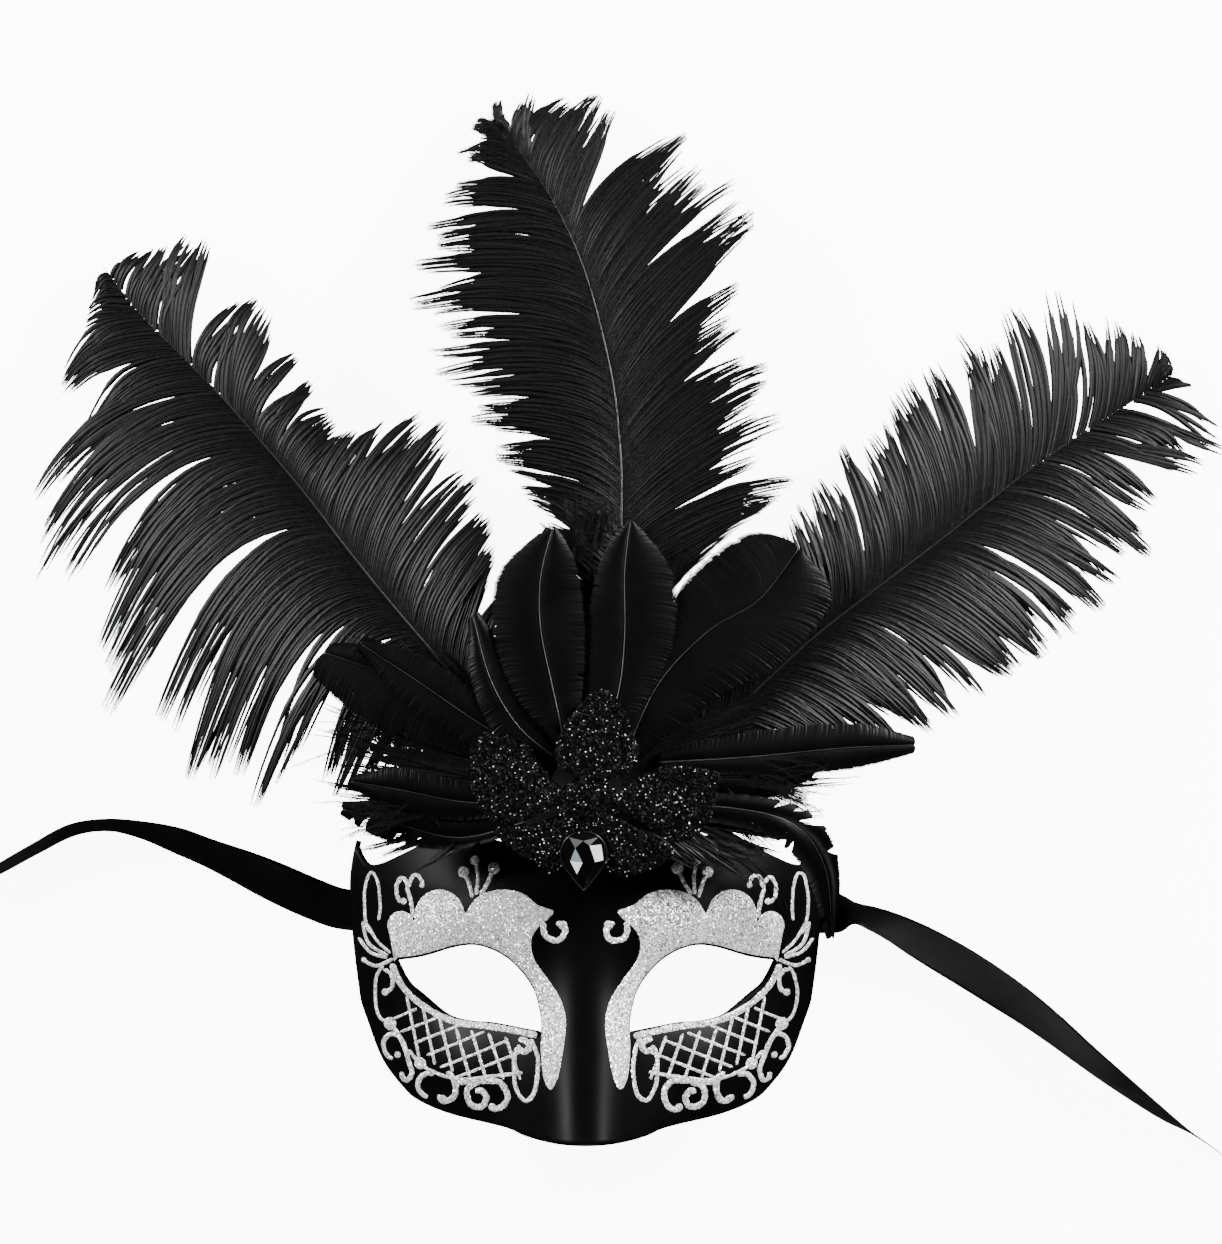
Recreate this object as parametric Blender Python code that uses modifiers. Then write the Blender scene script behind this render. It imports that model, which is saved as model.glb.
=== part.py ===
"""Venetian masquerade half-mask with a fan of feathers, a glitter flower, a drop gem and two ribbon ties.

The mask lies on its back: x runs across the face, y up the face and z out of it, and z = 0 is the
surface it rests on. Sizes are in millimetres in the mask's own frame, whose origin is the middle of
the face, and every mesh is scaled to metres as it is made.
"""
import math

import bmesh
import bpy

MM = 0.001

# Driving dimensions, in millimetres.
MASK_X = -11.8              # the face's middle, seen from the middle of the whole object
MASK_Y = -133.3
SHELL_DEPTH = 44.0          # from the temples' rim to the brow
SHELL_HALF_WIDTH = 86.5
SHELL_THICKNESS = 2.0
FAN_HEIGHT = 49.5           # underside of the lowest feather behind the flower
FAN_REACH = 272.0           # distance from the flower at which the fan meets the table
FAN_CENTRE_Y = 72.0
VANE_THICKNESS = 0.5
OSTRICH_PITCH = 2.9         # thickness taken by one layer of ostrich plumes
GOOSE_PITCH = 1.8           # thickness taken by one layer of goose feathers
DROOP_START = 0.4           # share of a drooping feather's length before it bends down
OSTRICH_QUILL = 0.9         # quill radii at the butt
GOOSE_QUILL = 0.4
QUILL_REACH = 0.93          # share of a vane's length that its quill runs along
QUILL_TAPER = 0.6           # share of its radius that a quill loses towards the tip
FLOWER_HEIGHT = 67.0        # underside of the petals at the flower's centre
FLOWER_SLOPE = 0.22         # how far the lower petals fall towards the brow, per millimetre
PETAL_THICKNESS = 1.6
RIBBON_WIDTH = 15.0
RIBBON_THICKNESS = 0.4
COIL_INNER = 21.0           # radii of a ribbon's loose coil
COIL_OUTER = 40.0
COIL_LEAD = 12.0            # how far past the strip's end a coil's middle lies
GAP = 0.3                   # clearance kept between pieces that touch

BLACK_PLASTIC = ((0.012, 0.012, 0.013), 0.45, 0.0)
BLACK_FEATHER = ((0.010, 0.010, 0.011), 0.60, 0.0)
BLACK_QUILL = ((0.030, 0.028, 0.028), 0.40, 0.0)
BLACK_GLITTER = ((0.015, 0.015, 0.016), 0.50, 0.2)
BLACK_FELT = ((0.014, 0.014, 0.014), 0.95, 0.0)
BLACK_SATIN = ((0.008, 0.008, 0.009), 0.35, 0.0)
GEM_GLASS = ((0.020, 0.020, 0.024), 0.05, 0.0)
GEM_SETTING = ((0.030, 0.030, 0.032), 0.35, 0.8)
CLEAR_GLUE = ((0.620, 0.590, 0.520), 0.30, 0.0)

# Half of the shell's outline, from the top middle round to the bottom middle.
SHELL_OUTLINE = [(0, 43.0), (14, 45.5), (30, 52.5), (44, 54.8), (55, 53.3), (65, 48.5), (74, 44.2),
                 (79, 43.4), (82, 46.0), (84.6, 51.0), (86.2, 52.5), (87.6, 47.0), (88.4, 34.0),
                 (88.0, 18.0), (84.6, 2.0), (79.5, -13.1), (73.8, -27.0), (65.7, -37.1), (59.5, -41.5),
                 (48.2, -45.3), (29.2, -49.0), (21.7, -51.6), (11.7, -53.2), (0, -53.5)]
SHELL_CORNERS = {10}
EYE_OUTLINE = [(69.7, 9.9), (59.1, 11.7), (47.5, 15.3), (39.4, 16.1), (31.4, 13.5), (24.5, 8.4),
               (18.6, 0.4), (15.9, -9.1), (15.7, -15.3), (24.5, -13.9), (33.6, -12.4), (41.6, -12.0),
               (50.0, -9.9), (59.1, -3.3), (65.0, 1.5)]
EYE_CORNERS = {0, 8}

# Plumes and feathers: the quill from butt to tip, then the vane's two edges alongside it.
PLUMES = {
    "plume_centre": dict(
        layer=0,
        quill=[(4, 80), (11, 128), (13, 177), (12, 200), (9, 223), (0, 258), (-12, 285), (-27, 307), (-36, 317)],
        left=[(2, 84), (-8, 140), (-15, 165), (-31, 190), (-50, 216), (-62, 250), (-57, 276), (-44, 304), (-38, 316)],
        right=[(8, 84), (28, 140), (46, 162), (70, 178), (66, 210), (58, 245), (56, 280), (25, 314), (-34, 320)]),
    "plume_left": dict(
        layer=1,
        quill=[(-13, 80), (-31, 99), (-48, 114), (-70, 139), (-87, 160), (-104, 182), (-133, 215), (-161, 243),
               (-176, 262)],
        left=[(-15, 77), (-50, 84), (-88, 76), (-125, 70), (-158, 88), (-188, 125), (-199, 162), (-190, 215),
              (-179, 261)],
        right=[(-10, 83), (-28, 118), (-32, 150), (-40, 195), (-62, 208), (-84, 200), (-112, 236), (-142, 258),
               (-174, 265)]),
    "plume_right": dict(
        layer=1,
        quill=[(17, 79), (42, 92), (56, 103), (81, 126), (107, 146), (127, 161), (163, 189), (201, 214), (216, 224)],
        left=[(14, 82), (34, 106), (56, 140), (76, 172), (104, 208), (136, 231), (166, 242), (196, 236), (214, 226)],
        right=[(19, 76), (49, 80), (85, 84), (125, 98), (152, 114), (182, 138), (206, 172), (222, 198), (218, 221)]),
}
FEATHERS = {
    "feather_low_left": dict(
        layer=2, quill=[(-21, 61), (-45, 55), (-68, 60), (-87, 65)],
        left=[(-21, 58), (-45, 51), (-70, 53), (-88, 63)], right=[(-21, 64), (-50, 64), (-70, 67), (-87, 68)]),
    "feather_low_right": dict(
        layer=2, quill=[(30, 78), (50, 77), (68, 77), (82, 79)],
        left=[(30, 81), (50, 86), (68, 86), (82, 81)], right=[(30, 75), (48, 70), (66, 69), (81, 76)]),
    "feather_lower_left": dict(
        layer=3, quill=[(-24, 67), (-45, 68), (-66, 72), (-84, 75)],
        left=[(-24, 64), (-45, 61), (-68, 65), (-85, 73)], right=[(-24, 70), (-48, 76), (-68, 80), (-84, 77)]),
    "feather_side_right": dict(
        layer=3, quill=[(26, 82), (60, 84), (92, 87), (118, 88)],
        left=[(26, 86), (60, 93), (96, 96), (118, 91)], right=[(26, 79), (60, 77), (94, 79), (118, 85)]),
    "feather_long_left": dict(
        layer=4, quill=[(-16, 84), (-42, 99), (-68, 112), (-93, 121)],
        left=[(-18, 80), (-48, 86), (-80, 97), (-98, 113)], right=[(-14, 88), (-40, 106), (-66, 122), (-90, 125)]),
    "feather_droop_right": dict(
        layer=4, droop=30.0, quill=[(24, 66), (50, 66), (74, 60), (86, 44), (89, 18)],
        left=[(24, 70), (52, 71), (79, 65), (91, 46), (90, 17)], right=[(24, 62), (48, 60), (68, 54), (79, 41), (87, 17)]),
    "feather_over_left": dict(
        layer=5, quill=[(-14, 82), (-38, 96), (-60, 111), (-80, 124)],
        left=[(-16, 79), (-42, 88), (-66, 104), (-82, 122)], right=[(-12, 85), (-34, 104), (-56, 119), (-79, 127)]),
    "feather_broad_right": dict(
        layer=5, quill=[(14, 84), (26, 110), (44, 129), (62, 140), (76, 158)],
        left=[(10, 88), (20, 122), (38, 150), (58, 164), (72, 162)],
        right=[(18, 81), (42, 102), (70, 118), (88, 140), (79, 157)]),
    "feather_small_left": dict(
        layer=6, quill=[(-11, 84), (-24, 95), (-34, 112), (-40, 134)],
        left=[(-13, 81), (-32, 92), (-41, 112), (-42, 133)], right=[(-9, 86), (-17, 100), (-26, 117), (-38, 136)]),
    "feather_upright_right": dict(
        layer=6, quill=[(6, 88), (12, 108), (14, 128), (14, 150), (16, 168)],
        left=[(3, 89), (-1, 110), (0, 132), (6, 156), (15, 169)],
        right=[(9, 87), (24, 108), (32, 128), (31, 150), (18, 168)]),
    "feather_upright_left": dict(
        layer=7, quill=[(-7, 88), (-12, 110), (-16, 130), (-16, 148), (-12, 165)],
        left=[(-10, 88), (-25, 106), (-33, 128), (-31, 150), (-14, 166)],
        right=[(-4, 88), (-1, 106), (0, 130), (-3, 152), (-10, 166)]),
}

PETALS = {
    "petal_top": [(1.5, 75.0), (-10.6, 82.5), (-7.3, 95.6), (6.2, 108.4), (17.2, 93.4), (17.0, 79.5)],
    "petal_upper_left": [(-5.8, 69.7), (-15.3, 80.6), (-22.6, 90.2), (-37.6, 92.3), (-41.6, 84.0),
                         (-40.6, 74.0), (-34.3, 61.8), (-20.4, 61.8)],
    "petal_upper_right": [(7.8, 69.7), (19.2, 76.7), (29.9, 81.4), (44.9, 79.2), (47.5, 76.7),
                          (44.2, 61.7), (33.2, 53.6), (20.5, 60.6)],
    "petal_lower_left": [(-4.6, 65.3), (-20.4, 59.8), (-33.0, 59.6), (-26.6, 51.0), (-16.4, 45.6),
                         (-12.5, 42.4), (-5.2, 48.5)],
    "petal_lower_right": [(6.0, 65.3), (19.7, 58.2), (31.4, 51.4), (25.9, 44.9), (11.0, 41.2), (4.0, 48.5)],
}
GEM_CENTRE = (-0.6, 48.6)
GEM_OUTLINE = [(0.0, 8.6), (5.2, 7.0), (7.8, 2.4), (6.6, -3.2), (0.0, -11.6), (-6.6, -3.2), (-7.8, 2.4), (-5.2, 7.0)]
GEM_HEIGHT = 4.6

# A ribbon's route over the table: x, y and how many degrees it is turned on edge.
LEFT_RIBBON = [(-72.0, 26.6, 0), (-80.0, 26.7, 0), (-90.0, 27.6, 0), (-100.0, 31.2, 0), (-112.0, 36.6, 10),
               (-124.0, 42.2, 28), (-136.5, 47.6, 43), (-148.5, 52.4, 48), (-161.0, 56.2, 62),
               (-174.0, 58.2, 71), (-187.0, 56.4, 72), (-200.0, 49.8, 74), (-213.5, 42.2, 76),
               (-226.0, 34.8, 82), (-236.0, 26.0, 90), (-243.0, 15.0, 90), (-246.0, 3.0, 90)]
RIGHT_RIBBON = [(72.0, 25.8, 0), (80.0, 25.8, 0), (89.5, 26.0, 0), (97.0, 26.2, 58), (104.0, 24.2, 56),
                (112.0, 20.8, 47), (120.0, 16.5, 36), (128.5, 11.7, 28), (138.5, 5.8, 25), (149.0, -0.9, 28),
                (159.5, -8.0, 36), (170.0, -15.9, 45), (181.0, -24.9, 54), (192.4, -33.9, 62),
                (208.8, -46.2, 75), (220.0, -53.6, 88), (231.0, -61.5, 90), (240.0, -71.0, 90),
                (246.5, -82.5, 90)]


def start_scene():
    """Empty the scene and return the parts' collection, the cutters' collection and the mask's empty."""
    for thing in list(bpy.data.objects):
        bpy.data.objects.remove(thing, do_unlink=True)
    parts = bpy.data.collections.new("venetian_masquerade_mask")
    cutters = bpy.data.collections.new("cutters")
    bpy.context.scene.collection.children.link(parts)
    bpy.context.scene.collection.children.link(cutters)
    middle = bpy.data.objects.new("face_middle", None)
    middle.location = (MASK_X * MM, MASK_Y * MM, 0.0)
    parts.objects.link(middle)
    return parts, cutters, middle


def finish_material(name, finish):
    """Return a Principled material of the given colour, roughness and metallic value."""
    colour, roughness, metallic = finish
    material = bpy.data.materials.new(name)
    material.use_nodes = True
    shader = material.node_tree.nodes["Principled BSDF"]
    shader.inputs["Base Color"].default_value = (*colour, 1.0)
    shader.inputs["Roughness"].default_value = roughness
    shader.inputs["Metallic"].default_value = metallic
    return material


def place_part(name, data, finish):
    """Make an object of the part's collection, under the mask's empty, in its finish."""
    thing = bpy.data.objects.new(name, data)
    thing.parent = FACE_MIDDLE
    data.materials.append(finish_material(name, finish))
    PARTS.objects.link(thing)
    return thing


def place_cutter(name, mesh):
    """Make a hidden cutter under the mask's empty."""
    cutter = bpy.data.objects.new(name, mesh)
    cutter.parent = FACE_MIDDLE
    cutter.hide_render = True
    cutter.display_type = "WIRE"
    CUTTERS.objects.link(cutter)
    return cutter


def smooth_path(points, count, closed=False, corners=()):
    """Return `count` points per stretch of a Catmull-Rom curve through `points`, sharp at `corners`."""
    total = len(points)
    stretches = total if closed else total - 1
    size = len(points[0])
    path = []
    for i in range(stretches):
        p1 = points[i]
        p2 = points[(i + 1) % total]
        p0 = points[(i - 1) % total] if closed or i > 0 else p1
        p3 = points[(i + 2) % total] if closed or i + 2 < total else p2
        if i in corners:
            p0 = p1
        if (i + 1) % total in corners:
            p3 = p2
        for step in range(count):
            t = step / count
            path.append(tuple(
                0.5 * (2 * p1[k] + (p2[k] - p0[k]) * t + (2 * p0[k] - 5 * p1[k] + 4 * p2[k] - p3[k]) * t * t
                       + (3 * p1[k] - p0[k] - 3 * p2[k] + p3[k]) * t ** 3)
                for k in range(size)))
    if not closed:
        path.append(tuple(points[-1]))
    return path


def spaced(path, count):
    """Return `count` + 1 points at even steps along a path."""
    lengths = [0.0]
    for a, b in zip(path, path[1:]):
        lengths.append(lengths[-1] + math.dist(a[:3], b[:3]))
    result = []
    k = 0
    for i in range(count + 1):
        target = lengths[-1] * i / count
        while k < len(path) - 2 and lengths[k + 1] < target:
            k += 1
        t = (target - lengths[k]) / (lengths[k + 1] - lengths[k])
        result.append(tuple(a + (b - a) * t for a, b in zip(path[k], path[k + 1])))
    return result


def shell_height(x, y):
    """Height of the shell's front surface: a bowed face with a nose, brows, sockets and cheeks."""
    half_width = SHELL_HALF_WIDTH - 3.5 * ((48.0 - y) / 50.0) ** 2
    radius = (88.0 ** 2 + SHELL_DEPTH ** 2) / (2 * SHELL_DEPTH)
    across = 88.0 * abs(x) / half_width
    bow = math.sqrt(max(radius ** 2 - across ** 2, 0.0)) - (radius - SHELL_DEPTH)
    down = min(max((34.0 - y) / 84.0, 0.0), 1.1)
    nose = 21.0 * down ** 1.25 * math.exp(-(abs(x) / (12.5 + 8.0 * down)) ** 2.4)
    brow = 3.0 * math.exp(-((y - 25.0) / 11.0) ** 2) * math.exp(-((abs(x) - 36.0) / 26.0) ** 2)
    socket = -6.0 * math.exp(-((abs(x) - 40.0) / 22.0) ** 2 - ((y + 1.0) / 13.0) ** 2)
    cheek = 2.5 * math.exp(-((abs(x) - 46.0) / 19.0) ** 2 - ((y + 31.0) / 12.0) ** 2)
    forehead = -0.05 * max(y - 36.0, 0.0) ** 1.5
    return bow + nose + brow + socket + cheek + forehead


def fan_height(x, y):
    """Height of the feather fan's underside, which arches from the flower down to the table."""
    reach = math.hypot(x, y - FAN_CENTRE_Y) / FAN_REACH
    return FAN_HEIGHT * (1.0 - min(reach, 1.0) ** 1.6)


def layer_height(layer):
    """Height of a feather's layer over the fan's underside: the first two layers are ostrich plumes."""
    return min(layer, 2) * OSTRICH_PITCH + max(layer - 2, 0) * GOOSE_PITCH


def grid_mesh(name, rows):
    """Return an open mesh through rows of points given in millimetres, facing +Z."""
    mesh = bpy.data.meshes.new(name)
    bm = bmesh.new()
    grid = [[bm.verts.new((x * MM, y * MM, z * MM)) for x, y, z in row] for row in rows]
    for lower, upper in zip(grid, grid[1:]):
        for a, b, c, d in zip(lower, lower[1:], upper[1:], upper):
            bm.faces.new((a, b, c, d))
    bmesh.ops.recalc_face_normals(bm, faces=bm.faces)
    bm.normal_update()
    if sum(face.normal.z for face in bm.faces) < 0:
        bmesh.ops.reverse_faces(bm, faces=bm.faces)
    bm.to_mesh(mesh)
    bm.free()
    return mesh


def solidify(thing, thickness, offset):
    """Give an open surface its thickness."""
    modifier = thing.modifiers.new("thickness", "SOLIDIFY")
    modifier.thickness = thickness * MM
    modifier.offset = offset
    modifier.use_even_offset = False


def prism(name, outline, low, high):
    """Return an upright prism over a flat outline, made as a filled 2D curve and then a welded mesh."""
    curve = bpy.data.curves.new(name, "CURVE")
    curve.dimensions = "2D"
    curve.fill_mode = "BOTH"
    curve.extrude = (high - low) / 2 * MM
    spline = curve.splines.new("POLY")
    spline.points.add(len(outline) - 1)
    for point, (x, y) in zip(spline.points, outline):
        point.co = (x * MM, y * MM, 0.0, 1.0)
    spline.use_cyclic_u = True
    holder = bpy.data.objects.new(name, curve)
    bpy.context.scene.collection.objects.link(holder)
    bpy.context.view_layer.update()
    depsgraph = bpy.context.evaluated_depsgraph_get()
    mesh = bpy.data.meshes.new_from_object(holder.evaluated_get(depsgraph))
    bpy.data.objects.remove(holder, do_unlink=True)
    bm = bmesh.new()
    bm.from_mesh(mesh)
    bmesh.ops.remove_doubles(bm, verts=bm.verts, dist=0.00001)
    bmesh.ops.translate(bm, verts=bm.verts, vec=(0.0, 0.0, (low + high) / 2 * MM))
    bmesh.ops.recalc_face_normals(bm, faces=bm.faces)
    bm.to_mesh(mesh)
    bm.free()
    mesh.materials.clear()
    return mesh


def boolean(thing, cutter, operation):
    """Cut a part with a cutter, or keep what both share."""
    modifier = thing.modifiers.new(cutter.name, "BOOLEAN")
    modifier.object = cutter
    modifier.operation = operation
    modifier.solver = "EXACT"


def make_shell():
    """Make the moulded half-mask: a solidified relief trimmed to its outline, with the eyes cut out."""
    columns, rows = 44, 26
    width, low, high = 97.0, -58.0, 58.0
    points = []
    for j in range(rows + 1):
        y = low + (high - low) * j / rows
        xs = [width * (2 * i / columns - 1) for i in range(columns + 1)]
        points.append([(x, y, shell_height(x, y)) for x in xs])
    shell = place_part("mask_shell", grid_mesh("mask_shell", points), BLACK_PLASTIC)
    solidify(shell, SHELL_THICKNESS, -1.0)
    right_side = smooth_path(SHELL_OUTLINE, 2, corners=SHELL_CORNERS)
    left_side = [(-x, y) for x, y in reversed(right_side[1:-1])]
    trim = place_cutter("trim_outline", prism("trim_outline", right_side + left_side, 0.0, 90.0))
    boolean(shell, trim, "INTERSECT")
    for side, name in ((1, "eye_cutter_right"), (-1, "eye_cutter_left")):
        outline = [(side * x, y) for x, y in smooth_path(EYE_OUTLINE, 2, closed=True, corners=EYE_CORNERS)]
        boolean(shell, place_cutter(name, prism(name, outline, 5.0, 95.0)), "DIFFERENCE")
    for side, name in ((1, "ribbon_notch_right"), (-1, "ribbon_notch_left")):
        notch = [(side * 78, 17.0), (side * 94, 17.0), (side * 94, 36.0), (side * 78, 36.0)]
        boolean(shell, place_cutter(name, prism(name, notch, -2.0, 1.6)), "DIFFERENCE")


def make_quill(name, path, radius):
    """Make a feather's quill as a tapering rod along its path, resting just over its vane."""
    curve = bpy.data.curves.new(name, "CURVE")
    curve.dimensions = "3D"
    curve.bevel_depth = radius * MM
    curve.bevel_resolution = 1
    curve.use_fill_caps = True
    spline = curve.splines.new("POLY")
    spline.points.add(len(path) - 1)
    for i, (point, (x, y, z)) in enumerate(zip(spline.points, path)):
        point.co = (x * MM, y * MM, (z + VANE_THICKNESS + GAP + radius) * MM, 1.0)
        point.radius = 1.0 - QUILL_TAPER * i / (len(path) - 1)
    place_part(name, curve, BLACK_QUILL)


def make_feather(name, plan, quill_radius, sections):
    """Make one feather as two pieces: a vane lofted between its edges, and the quill over it."""
    layer = plan["layer"]
    droop = plan.get("droop", 0.0)
    quill = spaced(smooth_path(plan["quill"], 6), sections)
    left = spaced(smooth_path(plan["left"], 6), sections)
    right = spaced(smooth_path(plan["right"], 6), sections)
    rise = layer_height(layer)
    rows = []
    middle = []
    for i, (a, m, b) in enumerate(zip(left, quill, right)):
        fall = droop * (max(i / sections - DROOP_START, 0.0) / (1.0 - DROOP_START)) ** 2
        row = []
        for p, q, t in ((a, m, 0.0), (a, m, 0.5), (m, b, 0.0), (m, b, 0.5), (b, b, 0.0)):
            x = p[0] + (q[0] - p[0]) * t
            y = p[1] + (q[1] - p[1]) * t
            row.append((x, y, fan_height(x, y) + rise - fall))
        rows.append(row)
        middle.append(row[2])
    vane = place_part(name + "_vane", grid_mesh(name + "_vane", rows), BLACK_FEATHER)
    solidify(vane, VANE_THICKNESS, 1.0)
    shaft = middle[:1 + round(QUILL_REACH * sections)]
    make_quill(name + "_quill", shaft, quill_radius)


def flower_height(x, y):
    """Height of the flower's underside: level over the feathers, falling towards the brow."""
    return FLOWER_HEIGHT - FLOWER_SLOPE * max(68.0 - y, 0.0) - 0.0012 * (x * x)


def make_solid_over(name, outline, thickness, height, finish):
    """Make a plate over a flat outline whose underside follows `height`, as a draped prism."""
    mesh = prism(name, outline, 0.0, thickness)
    bm = bmesh.new()
    bm.from_mesh(mesh)
    for vert in bm.verts:
        vert.co.z += height(vert.co.x / MM, vert.co.y / MM) * MM
    bmesh.ops.recalc_face_normals(bm, faces=bm.faces)
    bm.to_mesh(mesh)
    bm.free()
    return place_part(name, mesh, finish)


def make_flower():
    """Make the five glittered petals side by side over the feather butts."""
    for name, outline in PETALS.items():
        rounded = smooth_path(outline, 3, closed=True, corners={0})
        make_solid_over(name, rounded, PETAL_THICKNESS, flower_height, BLACK_GLITTER)


def gem_base(x, y):
    """Height of the gem's underside, over the flower's slope and its setting."""
    return flower_height(0.0, y) + PETAL_THICKNESS + 2 * GAP + 1.0


def make_gem():
    """Make the faceted drop gem and the shallow setting behind it."""
    cx, cy = GEM_CENTRE
    setting = [(cx + 1.06 * x, cy + 1.06 * y) for x, y in GEM_OUTLINE]
    make_solid_over("gem_setting", setting, 1.0, lambda x, y: gem_base(x, y) - 1.0 - GAP, GEM_SETTING)
    mesh = bpy.data.meshes.new("gem")
    bm = bmesh.new()
    rings = []
    for scale, height in ((0.94, 0.0), (1.0, 1.2), (0.52, GEM_HEIGHT)):
        ring = []
        for x, y in GEM_OUTLINE:
            px, py = cx + scale * x, cy + scale * y
            ring.append(bm.verts.new((px * MM, py * MM, (gem_base(px, py) + height) * MM)))
        rings.append(ring)
    for lower, upper in zip(rings, rings[1:]):
        for i in range(len(lower)):
            j = (i + 1) % len(lower)
            bm.faces.new((lower[i], lower[j], upper[j], upper[i]))
    bm.faces.new(rings[0])
    bm.faces.new(rings[-1])
    bmesh.ops.recalc_face_normals(bm, faces=bm.faces)
    bm.to_mesh(mesh)
    bm.free()
    place_part("gem", mesh, GEM_GLASS)


def ellipse(cx, cy, rx, ry, count):
    """Return an ellipse's points."""
    turn = 2 * math.pi / count
    return [(cx + rx * math.cos(turn * i), cy + ry * math.sin(turn * i)) for i in range(count)]


def make_backing():
    """Make the felt pad under the butts, the glue post through them and the glue bed on the brow."""
    pad_top = FAN_HEIGHT - GAP - 1.4
    pad = ellipse(0.0, 70.0, 26.0, 25.0, 32)
    make_solid_over("felt_pad", pad, 1.4, lambda x, y: pad_top - 1.4 + GAP, BLACK_FELT)
    post_low = pad_top + 2 * GAP
    post = ellipse(0.0, 71.0, 4.6, 4.6, 20)
    make_solid_over("glue_post", post, FLOWER_HEIGHT - GAP - post_low, lambda x, y: post_low, CLEAR_GLUE)
    low = []
    steps = 8
    for j in range(steps + 1):
        y = 44.6 + 6.0 * j / steps
        half = 17.0
        low.append([(half * (2 * i / steps - 1), y, 0.0) for i in range(steps + 1)])
    mesh = grid_mesh("glue_bed", low)
    bed = place_part("glue_bed", mesh, CLEAR_GLUE)
    solidify(bed, 1.0, 1.0)
    bed_top = pad_top - 1.4
    bpy.context.view_layer.update()
    depsgraph = bpy.context.evaluated_depsgraph_get()
    solid = bpy.data.meshes.new_from_object(bed.evaluated_get(depsgraph))
    bed.modifiers.clear()
    bed.data = solid
    for vert in solid.vertices:
        x, y = vert.co.x / MM, vert.co.y / MM
        on_top = vert.co.z > 0.5 * MM
        vert.co.z = (bed_top if on_top else shell_height(x, y) + 2 * GAP) * MM


def ribbon_rows(route, per_stretch):
    """Return a ribbon's cross rows along its route, turned on edge by the route's angle."""
    path = smooth_path(route, per_stretch)
    rows = []
    for i, (x, y, turn) in enumerate(path):
        before = path[max(i - 1, 0)]
        after = path[min(i + 1, len(path) - 1)]
        length = math.hypot(after[0] - before[0], after[1] - before[1])
        side = (-(after[1] - before[1]) / length, (after[0] - before[0]) / length)
        angle = math.radians(turn)
        half = RIBBON_WIDTH / 2
        lift = half * math.sin(angle) + RIBBON_THICKNESS
        row = []
        for t in (-1.0, 0.0, 1.0):
            flat = t * half * math.cos(angle)
            row.append((x + side[0] * flat, y + side[1] * flat, lift - t * half * math.sin(angle)))
        rows.append(row)
    return rows


def make_ribbon(side, route):
    """Make one tie: the strip along the table, its loose coil and the glue pad inside the shell."""
    strip = place_part("ribbon_" + side, grid_mesh("ribbon_" + side, ribbon_rows(route, 2)), BLACK_SATIN)
    solidify(strip, RIBBON_THICKNESS, 0.0)
    x0, y0 = route[0][:2]
    sign = 1 if x0 > 0 else -1
    pad = ellipse(x0 + sign * 3.0, y0, 4.5, 6.0, 20)
    make_solid_over("glue_pad_" + side, pad, 1.6, lambda x, y: 1.1, CLEAR_GLUE)
    end = route[-1]
    last = route[-2]
    run = math.dist(end[:2], last[:2])
    ahead = ((end[0] - last[0]) / run, (end[1] - last[1]) / run)
    outward = (-ahead[1] * sign, ahead[0] * sign)
    arm = COIL_OUTER - 1.0
    clear = COIL_LEAD + GAP
    make_coil("ribbon_coil_" + side, (end[0] + outward[0] * arm + ahead[0] * clear,
                                      end[1] + outward[1] * arm + ahead[1] * clear))


def make_coil(name, centre):
    """Make a coil's outer shape: a ring turned about an upright axis and standing on the table."""
    mesh = bpy.data.meshes.new(name)
    low, high = 0.2, 0.2 + RIBBON_WIDTH
    profile = [(COIL_OUTER, high), (COIL_OUTER, low), (COIL_INNER, low), (COIL_INNER, high)]
    mesh.from_pydata([(r * MM, 0.0, z * MM) for r, z in profile], [(0, 1), (1, 2), (2, 3), (3, 0)], [])
    coil = place_part(name, mesh, BLACK_SATIN)
    coil.location = (centre[0] * MM, centre[1] * MM, 0.0)
    turned = coil.modifiers.new("turned", "SCREW")
    turned.steps = 40
    turned.render_steps = 40
    turned.use_merge_vertices = True
    turned.merge_threshold = 0.00001


PARTS, CUTTERS, FACE_MIDDLE = start_scene()
make_shell()
for plume_name, plume in PLUMES.items():
    make_feather(plume_name, plume, OSTRICH_QUILL, 14)
for feather_name, feather in FEATHERS.items():
    make_feather(feather_name, feather, GOOSE_QUILL, 8)
make_flower()
make_gem()
make_backing()
make_ribbon("left", LEFT_RIBBON)
make_ribbon("right", RIGHT_RIBBON)
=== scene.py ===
"""The looks of a venetian masquerade half-mask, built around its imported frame.

The mask lies on its back: x runs across the face, y up the face towards the plumes and z out of the
face. Every builder below works in millimetres in the mask's own frame, whose origin is the middle of
the face on the table, and `Bench` turns those into metres in the frame's own place.
"""
from __future__ import annotations

import logging
import math
from dataclasses import dataclass, field
from enum import Enum

import bmesh
import bpy
import numpy as np
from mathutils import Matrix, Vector, geometry

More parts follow.
